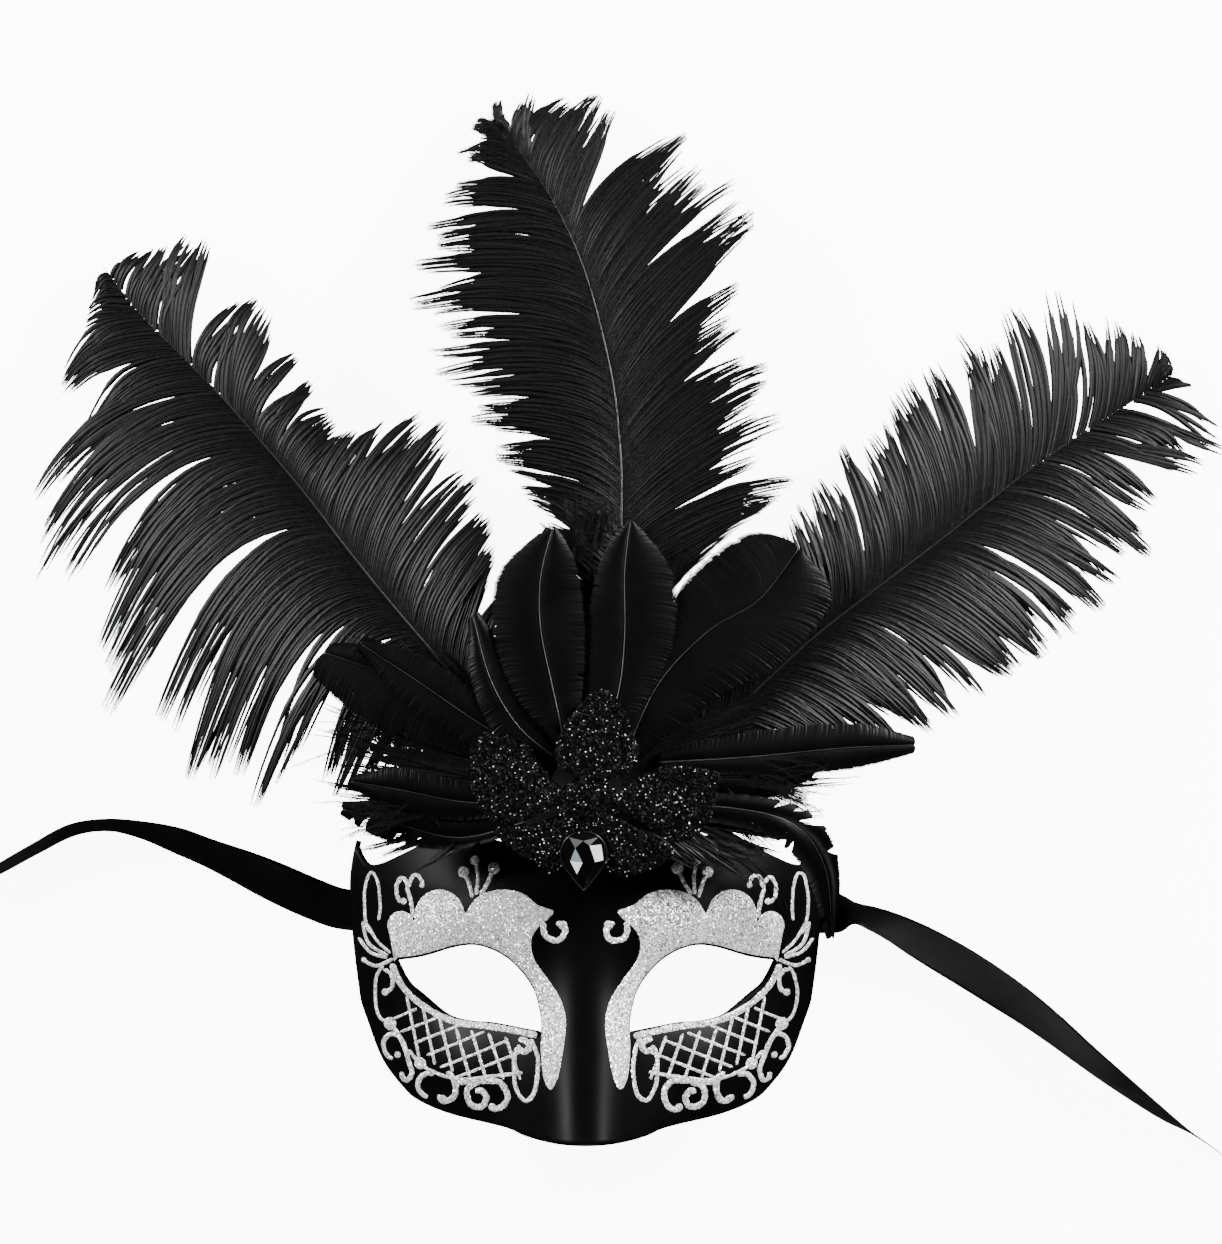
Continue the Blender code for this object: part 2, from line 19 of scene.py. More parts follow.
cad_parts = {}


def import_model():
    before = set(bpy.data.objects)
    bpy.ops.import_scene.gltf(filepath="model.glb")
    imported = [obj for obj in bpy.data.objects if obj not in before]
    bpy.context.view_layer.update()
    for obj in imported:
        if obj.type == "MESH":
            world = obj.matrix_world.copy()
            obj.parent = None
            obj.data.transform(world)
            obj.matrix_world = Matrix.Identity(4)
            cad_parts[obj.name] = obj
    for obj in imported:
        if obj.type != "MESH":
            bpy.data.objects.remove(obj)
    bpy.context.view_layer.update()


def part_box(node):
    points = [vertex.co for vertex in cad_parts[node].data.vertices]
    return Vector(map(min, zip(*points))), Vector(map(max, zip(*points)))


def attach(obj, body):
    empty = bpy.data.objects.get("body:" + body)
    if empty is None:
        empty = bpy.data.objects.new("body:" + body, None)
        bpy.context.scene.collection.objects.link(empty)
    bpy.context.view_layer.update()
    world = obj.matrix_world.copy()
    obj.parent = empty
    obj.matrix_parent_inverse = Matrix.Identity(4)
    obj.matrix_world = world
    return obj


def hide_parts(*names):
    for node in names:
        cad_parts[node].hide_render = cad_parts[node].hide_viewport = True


LOG = logging.getLogger("masquerade_mask")
MM = 0.001
SKY = np.array([0.0, 0.0, 1.0])
SHELL_FOOT = 53.5           # from the face's middle down to the shell's lowest point
CURVE_STEPS = 8             # points on each stretch of an outline or a quill
WELD = 1e-5                 # points nearer than this count as one
SHELL_CLEARANCE = 0.05      # the nearest that each part comes to the table
RIBBON_CLEARANCE = 0.12
BARB_CLEARANCE = 0.35
BARBULE_CLEARANCE = 0.2
VANE_CLEARANCE = 0.4
Point = tuple[float, ...]
Path = list[Point]


class Side(Enum):
    """The two sides of the mask, as the sign of x."""

    LEFT = -1
    RIGHT = 1


# ---------------------------------------------------------------------------------------------------
# Curves and meshes
# ---------------------------------------------------------------------------------------------------


def smooth_path(points: Path, count: int, closed: bool = False,
                corners: frozenset[int] = frozenset()) -> Path:
    """Run a Catmull-Rom curve through points.

    Args:
        points: The points that the curve passes, all with the same number of values.
        count: How many points each stretch gets.
        closed: Whether the last point joins the first.
        corners: The indices of points where the curve turns sharply.

    Returns:
        The curve's points.
    """
    total = len(points)
    path: Path = []
    for i in range(total if closed else total - 1):
        p1, p2 = points[i], points[(i + 1) % total]
        p0 = points[(i - 1) % total] if closed or i > 0 else p1
        p3 = points[(i + 2) % total] if closed or i + 2 < total else p2
        p0 = p1 if i in corners else p0
        p3 = p2 if (i + 1) % total in corners else p3
        for step in range(count):
            t = step / count
            path.append(tuple(
                0.5 * (2 * b + (c - a) * t + (2 * a - 5 * b + 4 * c - d) * t * t
                       + (3 * b - a - 3 * c + d) * t ** 3)
                for a, b, c, d in zip(p0, p1, p2, p3)))
    if not closed:
        path.append(tuple(points[-1]))
    return path


def travelled(rows: np.ndarray) -> np.ndarray:
    """Return the distance along a path at each of its rows."""
    return np.concatenate([[0.0], np.cumsum(np.linalg.norm(np.diff(rows, axis=0), axis=1))])


def sampled(wanted: np.ndarray, along: np.ndarray, rows: np.ndarray) -> np.ndarray:
    """Return rows known at the places `along`, read at the wanted places."""
    return np.stack([np.interp(wanted, along, column) for column in rows.T], axis=1)


def spaced(path: Path, count: int) -> np.ndarray:
    """Read points at even steps along a path.

    Args:
        path: The path's points.
        count: The number of points to return.

    Returns:
        An array of `count` rows.
    """
    data = np.asarray(path, dtype=float)
    along = travelled(data[:, :3])
    return sampled(np.linspace(0.0, along[-1], count), along, data)


def path_length(path: np.ndarray) -> float:
    """Return the length of a path given as rows of x, y, z."""
    return float(np.linalg.norm(np.diff(path[:, :3], axis=0), axis=1).sum())


def unit(rows: np.ndarray) -> np.ndarray:
    """Return the rows scaled to length one."""
    return rows / np.maximum(np.linalg.norm(rows, axis=-1, keepdims=True), 1e-9)


def circle(count: int) -> np.ndarray:
    """Return the angles of even steps round a circle."""
    return np.arange(count) * 2 * math.pi / count


@dataclass
class MeshStore:
    """Collects vertices and faces in millimetres, in the mask's own frame, until they become one piece."""

    vertices: list[np.ndarray] = field(default_factory=list)
    quads: list[np.ndarray] = field(default_factory=list)
    triangles: list[np.ndarray] = field(default_factory=list)
    count: int = 0

    def add(self, vertices: np.ndarray, quads: np.ndarray | None = None,
            triangles: np.ndarray | None = None) -> None:
        """Add a batch of vertices and the faces between them.

        Args:
            vertices: Rows of x, y, z.
            quads: Rows of four indices into `vertices`.
            triangles: Rows of three indices into `vertices`.
        """
        if quads is not None and len(quads):
            self.quads.append(np.asarray(quads) + self.count)
        if triangles is not None and len(triangles):
            self.triangles.append(np.asarray(triangles) + self.count)
        self.vertices.append(np.asarray(vertices, dtype=float))
        self.count += len(vertices)

    def add_grid(self, grid: np.ndarray) -> None:
        """Add the surface through a grid of points, shaped rows by columns by 3."""
        self.add_grids(grid[None])

    def add_grids(self, grids: np.ndarray, flip: bool = False) -> None:
        """Add the surfaces through many grids, shaped grids by rows by columns by 3, turned over or not."""
        index = np.arange(grids[..., 0].size).reshape(grids.shape[:3])
        near, far = index[:, :-1], index[:, 1:]
        quads = np.stack([near[..., :-1], near[..., 1:], far[..., 1:], far[..., :-1]], axis=-1)
        self.add(grids.reshape(-1, 3), quads.reshape(-1, 4)[:, ::-1 if flip else 1])

    def add_slab(self, plan: Plan, top: np.ndarray, bottom: np.ndarray) -> None:
        """Add a closed slab between two heights over each vertex of a plan without holes."""
        loop, count = plan.loops[0], len(plan.vertices)
        after = np.roll(loop, -1)
        self.add(np.concatenate([np.column_stack([plan.vertices, level]) for level in (top, bottom)]),
                 np.stack([loop, after, after + count, loop + count], axis=1),
                 np.concatenate([plan.triangles, plan.triangles[:, ::-1] + count]))

    def add_tube(self, path: np.ndarray, radii: np.ndarray, sides: int, flat: float = 1.0) -> None:
        """Add a closed tapering rod.

        Args:
            path: Rows of x, y, z along the rod.
            radii: The rod's radius at each row.
            sides: The number of sides.
            flat: The rod's thickness across the table as a share of its width.
        """
        ahead = unit(np.gradient(path, axis=0))
        across = unit(np.cross(ahead, SKY))
        up = np.cross(across, ahead)
        turn = circle(sides)
        ring = (across[:, None, :] * np.cos(turn)[None, :, None]
                + up[:, None, :] * np.sin(turn)[None, :, None] * flat)
        points = path[:, None, :] + ring * radii[:, None, None]
        rows = len(path)
        index = np.arange(rows * sides).reshape(rows, sides)
        after = np.roll(index, -1, axis=1)
        quads = np.stack([index[:-1], after[:-1], after[1:], index[1:]], axis=-1).reshape(-1, 4)
        ends = np.array([path[0], path[-1]])
        first, last = rows * sides, rows * sides + 1
        caps = [(first, after[0, k], index[0, k]) for k in range(sides)]
        caps += [(last, index[-1, k], after[-1, k]) for k in range(sides)]
        self.add(np.concatenate([points.reshape(-1, 3), ends]), quads, np.array(caps))


@dataclass
class Bench:
    """Where the mask lies in the frame, and the collection that its pieces go in."""

    middle: Vector
    collection: bpy.types.Collection

    @classmethod
    def from_frame(cls) -> Bench:
        """Read the face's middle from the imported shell's box."""
        low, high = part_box("mask_shell")
        collection = bpy.data.collections.new("masquerade_mask_looks")
        bpy.context.scene.collection.children.link(collection)
        return cls(Vector(((low[0] + high[0]) / 2, low[1] + SHELL_FOOT * MM, 0.0)), collection)

    def world(self, points: np.ndarray) -> np.ndarray:
        """Return points given in millimetres in the mask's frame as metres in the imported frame."""
        return np.asarray(points, dtype=float) * MM + np.array(self.middle)[None, :]

    def piece(self, name: str, store: MeshStore, material: bpy.types.Material, slot: str,
              replaces: tuple[str, ...] = (), smooth: bool = True) -> bpy.types.Object:
        """Turn a store into a finished piece that rides on the mask.

        Args:
            name: The piece's name.
            store: Its vertices and faces.
            material: Its material.
            slot: The record's material slot; not used.
            replaces: The CAD nodes that it stands for.
            smooth: Whether its faces are shaded smooth.

        Returns:
            The piece's object.
        """
        mesh = bpy.data.meshes.new(name)
        vertices = self.world(np.concatenate(store.vertices))
        quads = np.concatenate(store.quads) if store.quads else np.zeros((0, 4), int)
        triangles = np.concatenate(store.triangles) if store.triangles else np.zeros((0, 3), int)
        loops = np.concatenate([quads.ravel(), triangles.ravel()]).astype(np.int32)
        sizes = np.concatenate([np.full(len(quads), 4), np.full(len(triangles), 3)]).astype(np.int32)
        starts = np.concatenate([[0], np.cumsum(sizes)[:-1]]).astype(np.int32)
        mesh.vertices.add(len(vertices))
        mesh.vertices.foreach_set("co", vertices.ravel().astype(np.float32))
        mesh.loops.add(len(loops))
        mesh.loops.foreach_set("vertex_index", loops)
        mesh.polygons.add(len(sizes))
        mesh.polygons.foreach_set("loop_start", starts)
        mesh.update(calc_edges=True)
        mesh.validate()
        mesh.shade_smooth() if smooth else mesh.shade_flat()
        return self.place(name, mesh, material, slot, replaces)

    def place(self, name: str, mesh: bpy.types.Mesh, material: bpy.types.Material, slot: str,
              replaces: tuple[str, ...] = ()) -> bpy.types.Object:
        """Link a mesh as a piece, dress it and let it ride on the mask's one body."""
        thing = bpy.data.objects.new(name, mesh)
        self.collection.objects.link(thing)
        mesh.materials.append(material)
        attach(thing, "root")
        if replaces:
            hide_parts(*replaces)
        LOG.info("%s: %d faces", name, len(mesh.polygons))
        return thing


# ---------------------------------------------------------------------------------------------------
# Shader groups and finishes
# ---------------------------------------------------------------------------------------------------


class Graph:
    """Adds nodes and links to a shader tree."""

    tree: bpy.types.NodeTree

    def node(self, kind: str, **settings: object) -> bpy.types.Node:
        """Add a node and set its properties."""
        made = self.tree.nodes.new(kind)
        for title, value in settings.items():
            setattr(made, title, value)
        return made

    def join(self, start: bpy.types.NodeSocket, end: bpy.types.NodeSocket) -> None:
        """Link two sockets."""
        self.tree.links.new(start, end)

    def feed(self, kind: str, operation: str, *values: object) -> bpy.types.NodeSocket:
        """Add a node that works on values.

        Args:
            kind: The node's type, such as "Math" or "VectorMath".
            operation: Its operation.
            values: A socket, a number or a vector for each of its inputs.

        Returns:
            The node's output.
        """
        made = self.node(f"ShaderNode{kind}", operation=operation)
        for socket, value in zip(made.inputs, values):
            if isinstance(value, bpy.types.NodeSocket):
                self.join(value, socket)
            else:
                socket.default_value = value
        return made.outputs[0]


class GroupMaker(Graph):
    """Builds a shader node group with its own sockets."""

    def __init__(self, name: str, inputs: dict[str, float], outputs: dict[str, str]) -> None:
        """Start a group.

        Args:
            name: The group's name.
            inputs: Float inputs and their usual values.
            outputs: Output names and their socket types.
        """
        self.tree = bpy.data.node_groups.new(name, "ShaderNodeTree")
        for title, value in inputs.items():
            socket = self.tree.interface.new_socket(title, in_out="INPUT", socket_type="NodeSocketFloat")
            socket.default_value = value
        for title, kind in outputs.items():
            self.tree.interface.new_socket(title, in_out="OUTPUT", socket_type=kind)
        self.source = self.node("NodeGroupInput")
        self.target = self.node("NodeGroupOutput")


def build_flake_group() -> bpy.types.NodeTree:
    """Build the glitter effect: small cells, each with its own tilt and its own random tone, and a share of
    cells, the Spark, that a finish can paint as glints.

    Returns:
        A group with the outputs Brightness, Spark and Normal.
    """
    group = GroupMaker("glitter_flakes", {"Flakes per metre": 2200.0, "Tilt": 0.9, "Spark share": 0.1},
                       {"Brightness": "NodeSocketFloat", "Spark": "NodeSocketFloat",
                        "Normal": "NodeSocketVector"})
    place = group.node("ShaderNodeTexCoord")
    cells = group.node("ShaderNodeTexVoronoi", voronoi_dimensions="3D", feature="F1")
    group.join(place.outputs["Object"], cells.inputs["Vector"])
    group.join(group.source.outputs["Flakes per metre"], cells.inputs["Scale"])
    split = group.node("ShaderNodeSeparateColor")
    group.join(cells.outputs["Color"], split.inputs[0])
    group.join(split.outputs["Red"], group.target.inputs["Brightness"])
    # Spark: the cells that a finish paints as white glints.
    limit = group.feed("Math", "SUBTRACT", 1.0, group.source.outputs["Spark share"])
    spark = group.feed("Math", "GREATER_THAN", split.outputs["Green"], limit)
    group.join(spark, group.target.inputs["Spark"])
    lean = group.feed("VectorMath", "SUBTRACT", cells.outputs["Color"], (0.5, 0.5, 0.5))
    scaled = group.node("ShaderNodeVectorMath", operation="SCALE")
    group.join(lean, scaled.inputs[0])
    group.join(group.source.outputs["Tilt"], scaled.inputs["Scale"])
    shape = group.node("ShaderNodeNewGeometry")
    summed = group.feed("VectorMath", "ADD", shape.outputs["Normal"], scaled.outputs[0])
    group.join(group.feed("VectorMath", "NORMALIZE", summed), group.target.inputs["Normal"])
    return group.tree


def build_grain_group() -> bpy.types.NodeTree:
    """Build the fine surface grain: a height and a slow mottle, both from noise.

    Returns:
        A group with the outputs Height and Mottle.
    """
    group = GroupMaker("fine_grain", {"Grain per metre": 1500.0, "Mottle per metre": 40.0},
                       {"Height": "NodeSocketFloat", "Mottle": "NodeSocketFloat"})
    place = group.node("ShaderNodeTexCoord")
    for source, target, detail in (("Grain per metre", "Height", 3.0), ("Mottle per metre", "Mottle", 4.0)):
        noise = group.node("ShaderNodeTexNoise")
        noise.inputs["Detail"].default_value = detail
        group.join(place.outputs["Object"], noise.inputs["Vector"])
        group.join(group.source.outputs[source], noise.inputs["Scale"])
        group.join(noise.outputs[0], group.target.inputs[target])
    return group.tree


class Finish(Graph):
    """A material under construction: a Principled shader and the nodes that feed it."""

    flake_group: bpy.types.NodeTree | None = None
    grain_group: bpy.types.NodeTree | None = None

    def __init__(self, name: str, colour: Point, roughness: float, **constants: object) -> None:
        """Start a material.

        Args:
            name: The material's name.
            colour: Its base colour, red, green and blue.
            roughness: Its roughness.
            constants: Other Principled inputs by name, with underscores for spaces.
        """
        self.material = bpy.data.materials.new(name)
        self.material.use_nodes = True
        self.tree = self.material.node_tree
        self.shader = self.tree.nodes["Principled BSDF"]
        self.shader.inputs["Base Color"].default_value = (*colour, 1.0)
        self.shader.inputs["Roughness"].default_value = roughness
        for title, value in constants.items():
            self.shader.inputs[title.replace("_", " ")].default_value = value

    def group(self, tree: bpy.types.NodeTree, **values: float) -> bpy.types.Node:
        """Place a shared group with its own values, given with underscores for spaces."""
        made = self.node("ShaderNodeGroup", node_tree=tree)
        for title, value in values.items():
            made.inputs[title.replace("_", " ")].default_value = value
        return made

    def ramp(self, source: bpy.types.NodeSocket, *stops: tuple[float, Point]) -> bpy.types.NodeSocket:
        """Map a value through a colour ramp to the base colour.

        Args:
            source: The value's socket.
            stops: Positions and colours.

        Returns:
            The ramp's colour output.
        """
        made = self.node("ShaderNodeValToRGB")
        stop_list = made.color_ramp.elements
        while len(stop_list) < len(stops):
            stop_list.new(1.0)
        for element, (position, colour) in zip(stop_list, stops):
            element.position = position
            element.color = (*colour, 1.0)
        self.join(source, made.inputs[0])
        self.join(made.outputs[0], self.shader.inputs["Base Color"])
        return made.outputs[0]

    def spread(self, source: bpy.types.NodeSocket, low: float, high: float) -> None:
        """Map a value from 0..1 to a roughness of low..high."""
        made = self.node("ShaderNodeMapRange")
        made.inputs["To Min"].default_value = low
        made.inputs["To Max"].default_value = high
        self.join(source, made.inputs["Value"])
        self.join(made.outputs[0], self.shader.inputs["Roughness"])

    def bump(self, source: bpy.types.NodeSocket, depth: float, strength: float = 1.0) -> None:
        """Feed the shader's normal with a bump of the given depth in metres."""
        made = self.node("ShaderNodeBump")
        made.inputs["Distance"].default_value = depth
        made.inputs["Strength"].default_value = strength
        self.join(source, made.inputs["Height"])
        self.join(made.outputs[0], self.shader.inputs["Normal"])


@dataclass(frozen=True)
class ShellFinish:
    """Matte black moulded plastic with a fine pebbled skin and a soft sheen."""

    colour: Point = (0.0013, 0.0013, 0.0014)
    roughness: float = 0.36

    def build(self) -> bpy.types.Material:
        """Return the shell's material."""
        finish = Finish("matte_black_shell", self.colour, self.roughness, Specular_IOR_Level=0.045)
        grain = finish.group(Finish.grain_group, Grain_per_metre=2600.0, Mottle_per_metre=55.0)
        finish.spread(grain.outputs["Mottle"], self.roughness - 0.05, self.roughness + 0.08)
        finish.ramp(grain.outputs["Mottle"], (0.3, (0.0010, 0.0010, 0.0010)),
                    (0.75, (0.0017, 0.0017, 0.0018)))
        finish.bump(grain.outputs["Height"], 0.00003, 0.5)
        return finish.material


@dataclass(frozen=True)
class SilverGlitterFinish:
    """Silver glitter set in clear lacquer: tiny flakes, each tilted its own way, with painted sparkle: flake
    colours run from dark grey to white and the Spark cells are painted white glints.
    """

    flakes_per_metre: float = 2300.0

    def build(self) -> bpy.types.Material:
        """Return the silver glitter's material."""
        finish = Finish("silver_glitter", (0.6, 0.6, 0.61), 0.34, Metallic=0.38)
        flakes = finish.group(Finish.flake_group, Flakes_per_metre=self.flakes_per_metre, Tilt=1.0,
                              Spark_share=0.07)
        # Painted sparkle: each flake's colour runs from dark grey to white as if it caught the light, and the
        # Spark cells are mixed to pure white as painted glints.
        painted_sparkle_colour = finish.ramp(flakes.outputs["Brightness"], (0.0, (0.16, 0.16, 0.165)),
                           (0.35, (0.50, 0.50, 0.51)), (0.7, (0.85, 0.85, 0.86)), (1.0, (1.0, 1.0, 1.0)))
        mix = finish.node("ShaderNodeMix", data_type="RGBA")
        finish.join(flakes.outputs["Spark"], mix.inputs["Factor"])
        finish.join(painted_sparkle_colour, mix.inputs[6])
        mix.inputs[7].default_value = (1.0, 1.0, 1.0, 1.0)
        finish.join(mix.outputs[2], finish.shader.inputs["Base Color"])
        finish.join(flakes.outputs["Normal"], finish.shader.inputs["Normal"])
        return finish.material


@dataclass(frozen=True)
class BlackGlitterFinish:
    """The petals' black ground under their coarse glitter."""

    colour: Point = (0.0012, 0.0012, 0.0013)

    def build(self) -> bpy.types.Material:
        """Return the ground's material."""
        finish = Finish("black_glitter_ground", self.colour, 0.5, Specular_IOR_Level=0.07)
        flakes = finish.group(Finish.flake_group, Flakes_per_metre=1300.0, Tilt=1.2, Spark_share=0.02)
        finish.ramp(flakes.outputs["Brightness"], (0.0, (0.001, 0.001, 0.001)), (0.8, (0.004, 0.004, 0.004)),
                    (1.0, (0.015, 0.015, 0.015)))
        finish.join(flakes.outputs["Normal"], finish.shader.inputs["Normal"])
        return finish.material


@dataclass(frozen=True)
class FlakeFinish:
    """Loose polyester flakes, dark ones or near-white ones; the near-white ones are painted glints, and the
    gem's painted reflections take this finish too.
    """

    name: str
    colour: Point
    roughness: float
    metallic: float

    def build(self) -> bpy.types.Material:
        """Return the flakes' material."""
        finish = Finish(self.name, self.colour, self.roughness, Metallic=self.metallic,
                        Specular_IOR_Level=0.07)
        grain = finish.group(Finish.grain_group, Grain_per_metre=900.0, Mottle_per_metre=300.0)
        finish.spread(grain.outputs["Mottle"], self.roughness * 0.8, self.roughness * 1.4)
        return finish.material


@dataclass(frozen=True)
class FeatherFinish:
    """Dyed black feather: a dark body colour that varies from strand to strand, with a satin sheen."""

    name: str
    dark: Point
    light: Point
    roughness: float
    sheen: float
    streaks_per_metre: float
    shine: float = 0.14

    def build(self) -> bpy.types.Material:
        """Return the feather's material."""
        finish = Finish(self.name, self.dark, self.roughness, Sheen_Weight=self.sheen, Sheen_Roughness=0.4,
                        Specular_IOR_Level=self.shine)
        grain = finish.group(Finish.grain_group, Grain_per_metre=self.streaks_per_metre,
                             Mottle_per_metre=70.0)
        finish.ramp(grain.outputs["Height"], (0.35, self.dark), (0.7, self.light))
        finish.spread(grain.outputs["Mottle"], self.roughness - 0.08, self.roughness + 0.1)
        return finish.material


@dataclass(frozen=True)
class PlainFinish:
    """A finish of one colour with fine grain: quills, glue, felt, the gem's setting."""

    name: str
    dark: Point
    light: Point
    roughness: float
    grain_per_metre: float = 1200.0
    bump_depth: float = 0.00003
    metallic: float = 0.0
    sheen: float = 0.0
    subsurface: float = 0.0

    def build(self) -> bpy.types.Material:
        """Return the finish's material."""
        finish = Finish(self.name, self.dark, self.roughness, Metallic=self.metallic, Sheen_Weight=self.sheen,
                        Subsurface_Weight=self.subsurface, Subsurface_Scale=0.003)
        grain = finish.group(Finish.grain_group, Grain_per_metre=self.grain_per_metre, Mottle_per_metre=120.0)
        finish.ramp(grain.outputs["Mottle"], (0.3, self.dark), (0.7, self.light))
        finish.spread(grain.outputs["Mottle"], self.roughness * 0.85, min(self.roughness * 1.2, 1.0))
        finish.bump(grain.outputs["Height"], self.bump_depth)
        return finish.material


@dataclass(frozen=True)
class GemFinish:
    """Black faceted acrylic with a hard polish; the facets that show a reflection are painted with finishes
    of their own.
    """

    def build(self) -> bpy.types.Material:
        """Return the gem's material."""
        finish = Finish("black_gem", (0.002, 0.002, 0.0025), 0.03, Specular_IOR_Level=0.03, IOR=1.45)
        grain = finish.group(Finish.grain_group, Grain_per_metre=400.0, Mottle_per_metre=200.0)
        finish.spread(grain.outputs["Mottle"], 0.02, 0.05)
        return finish.material


@dataclass(frozen=True)
class SatinFinish:
    """Black satin ribbon: fine warp lines along it, picks across it and dust specks."""

    threads_across: float = 55.0
    picks_per_unit: float = 3.0

    def build(self) -> bpy.types.Material:
        """Return the ribbon's material, which reads the piece's `weave` map."""
        finish = Finish("black_satin", (0.0015, 0.0015, 0.0016), 0.38, Sheen_Weight=0.02, Sheen_Roughness=0.3,
                        Anisotropic=0.5, Specular_IOR_Level=0.035)
        place = finish.node("ShaderNodeUVMap", uv_map="weave")
        split = finish.node("ShaderNodeSeparateXYZ")
        finish.join(place.outputs[0], split.inputs[0])
        warp, weft = (finish.feed("Math", "SINE", finish.feed("Math", "MULTIPLY", split.outputs[axis],
                                                              count * 2 * math.pi))
                      for axis, count in ((1, self.threads_across), (0, self.picks_per_unit)))
        weave = finish.feed("Math", "MULTIPLY_ADD", weft, 0.4, warp)
        grain = finish.group(Finish.grain_group, Grain_per_metre=3000.0, Mottle_per_metre=60.0)
        finish.spread(grain.outputs["Mottle"], 0.32, 0.48)
        finish.ramp(grain.outputs["Height"], (0.5, (0.0012, 0.0012, 0.0013)), (0.78, (0.003, 0.003, 0.0032)),
                    (0.83, (0.02, 0.02, 0.021)))
        finish.bump(weave, 0.00003, 0.6)
        return finish.material


class FinishBook:
    """Every finish of the mask, built once."""

    def __init__(self) -> None:
        """Build the shared groups and then the materials."""
        Finish.flake_group = build_flake_group()
        Finish.grain_group = build_grain_group()
        self.shell = ShellFinish().build()
        self.silver = SilverGlitterFinish().build()
        self.petal = BlackGlitterFinish().build()
        self.dark_flake = FlakeFinish("dark_flake", (0.0010, 0.0010, 0.0010), 0.36, 0.0).build()
        # Near-white flakes: painted glints on the black glitter.
        self.bright_flake = FlakeFinish("bright_flake", (0.9, 0.9, 0.92), 0.30, 0.5).build()
        self.ostrich = FeatherFinish("ostrich_barbs", (0.0016, 0.0016, 0.0016), (0.0050, 0.0050, 0.0050),
                                     0.46, 0.02, 900.0).build()
        self.goose = FeatherFinish("goose_vane", (0.0004, 0.0004, 0.0005), (0.0011, 0.0011, 0.0012), 0.42,
                                   0.0, 1400.0, 0.08).build()
        self.quill = PlainFinish("feather_quill", (0.010, 0.010, 0.010), (0.028, 0.027, 0.027), 0.35).build()
        self.dark_quill = PlainFinish("ostrich_quill", (0.0015, 0.0015, 0.0015), (0.004, 0.004, 0.004),
                                      0.4).build()
        self.gem = GemFinish().build()
        # Painted reflections for the gem's chosen facets: near-white and pale blue-grey.
        self.painted_reflection = FlakeFinish("foil_facet", (0.95, 0.95, 0.96), 0.35, 0.1).build()
        self.pale_painted_reflection = FlakeFinish("pale_foil_facet", (0.24, 0.30, 0.33), 0.35, 0.1).build()
        self.setting = PlainFinish("gem_setting", (0.03, 0.03, 0.032), (0.05, 0.05, 0.05), 0.3,
                                   metallic=0.9).build()
        self.felt = PlainFinish("black_felt", (0.0035, 0.0035, 0.0038), (0.02, 0.02, 0.021), 0.95, 2600.0,
                                0.0003, sheen=0.4).build()
        self.glue = PlainFinish("hot_glue", (0.55, 0.52, 0.45), (0.66, 0.63, 0.56), 0.28, 300.0, 0.0002,
                                subsurface=0.4).build()
        self.satin = SatinFinish().build()


@dataclass
class Maker:
    """What every builder of pieces works with."""

    bench: Bench
    finishes: FinishBook


# ---------------------------------------------------------------------------------------------------
# The shell and its silver ornament
# ---------------------------------------------------------------------------------------------------

# Half of the shell's outline, from the top middle round to the bottom middle, and an eye hole.
SHELL_OUTLINE: Path = [
    (0, 43.0), (14, 45.5), (30, 52.5), (44, 54.8), (55, 53.3), (65, 48.5), (74, 44.2), (79, 43.4), (82, 46.0),
    (84.6, 51.0), (86.2, 52.5), (87.6, 47.0), (88.4, 34.0), (88.0, 18.0), (84.6, 2.0), (79.5, -13.1),
    (73.8, -27.0), (65.7, -37.1), (59.5, -41.5), (48.2, -45.3), (29.2, -49.0), (21.7, -51.6), (11.7, -53.2),
    (0, -53.5)]
SHELL_CORNERS = frozenset({10})
EYE_OUTLINE: Path = [
    (69.7, 9.9), (59.1, 11.7), (47.5, 15.3), (39.4, 16.1), (31.4, 13.5), (24.5, 8.4), (18.6, 0.4),
    (15.9, -9.1), (15.7, -15.3), (24.5, -13.9), (33.6, -12.4), (41.6, -12.0), (50.0, -9.9), (59.1, -3.3),
    (65.0, 1.5)]
EYE_CORNERS = frozenset({0, 8})
EYE_UPPER_EDGE = 9          # the eye outline's first points run along its upper edge


def scroll(x: float, y: float, wide: float, tall: float, start: float, sweep: float,
           curl: float = 1.0) -> Path:
    """Return an arc or a curl.

    Args:
        x: Its middle, across the face.
        y: Its middle, up the face.
        wide: Its radius across the face.
        tall: Its radius up the face.
        start: The angle it starts at, in degrees from the temple's side.
        sweep: The angle it turns through, counter-clockwise on the wearer's left half.
        curl: The share of its radius that is left at its end.

    Returns:
        Its points.
    """
    count = max(int(abs(sweep) / 24), 3)
    shares = [k / count for k in range(count + 1)]
    turns = [math.radians(start + sweep * share) for share in shares]
    sizes = [1.0 - (1.0 - curl) * share for share in shares]
    return [(x + wide * size * math.cos(turn), y + tall * size * math.sin(turn))
            for turn, size in zip(turns, sizes)]


# The brow band's free edge: three lobes over the brow, the beak, then down beside the nose and back up.
BROW_BAND: Path = [
    (69.5, 9), *scroll(66.8, 21.8, 5.2, 5.6, -30, 190), *scroll(52.6, 26, 9.2, 9.6, 5, 165),
    *scroll(29.5, 26, 13.4, 10, 12, 138), (14.5, 29.5), (11.5, 28.4), (13.5, 25.5), (17, 22.5), (19.5, 18),
    (18.5, 11), (13.5, 4), (8.5, -4), (7, -12), (8.2, -22), (10, -31), (12.5, -35), (15, -31), (16, -22)]
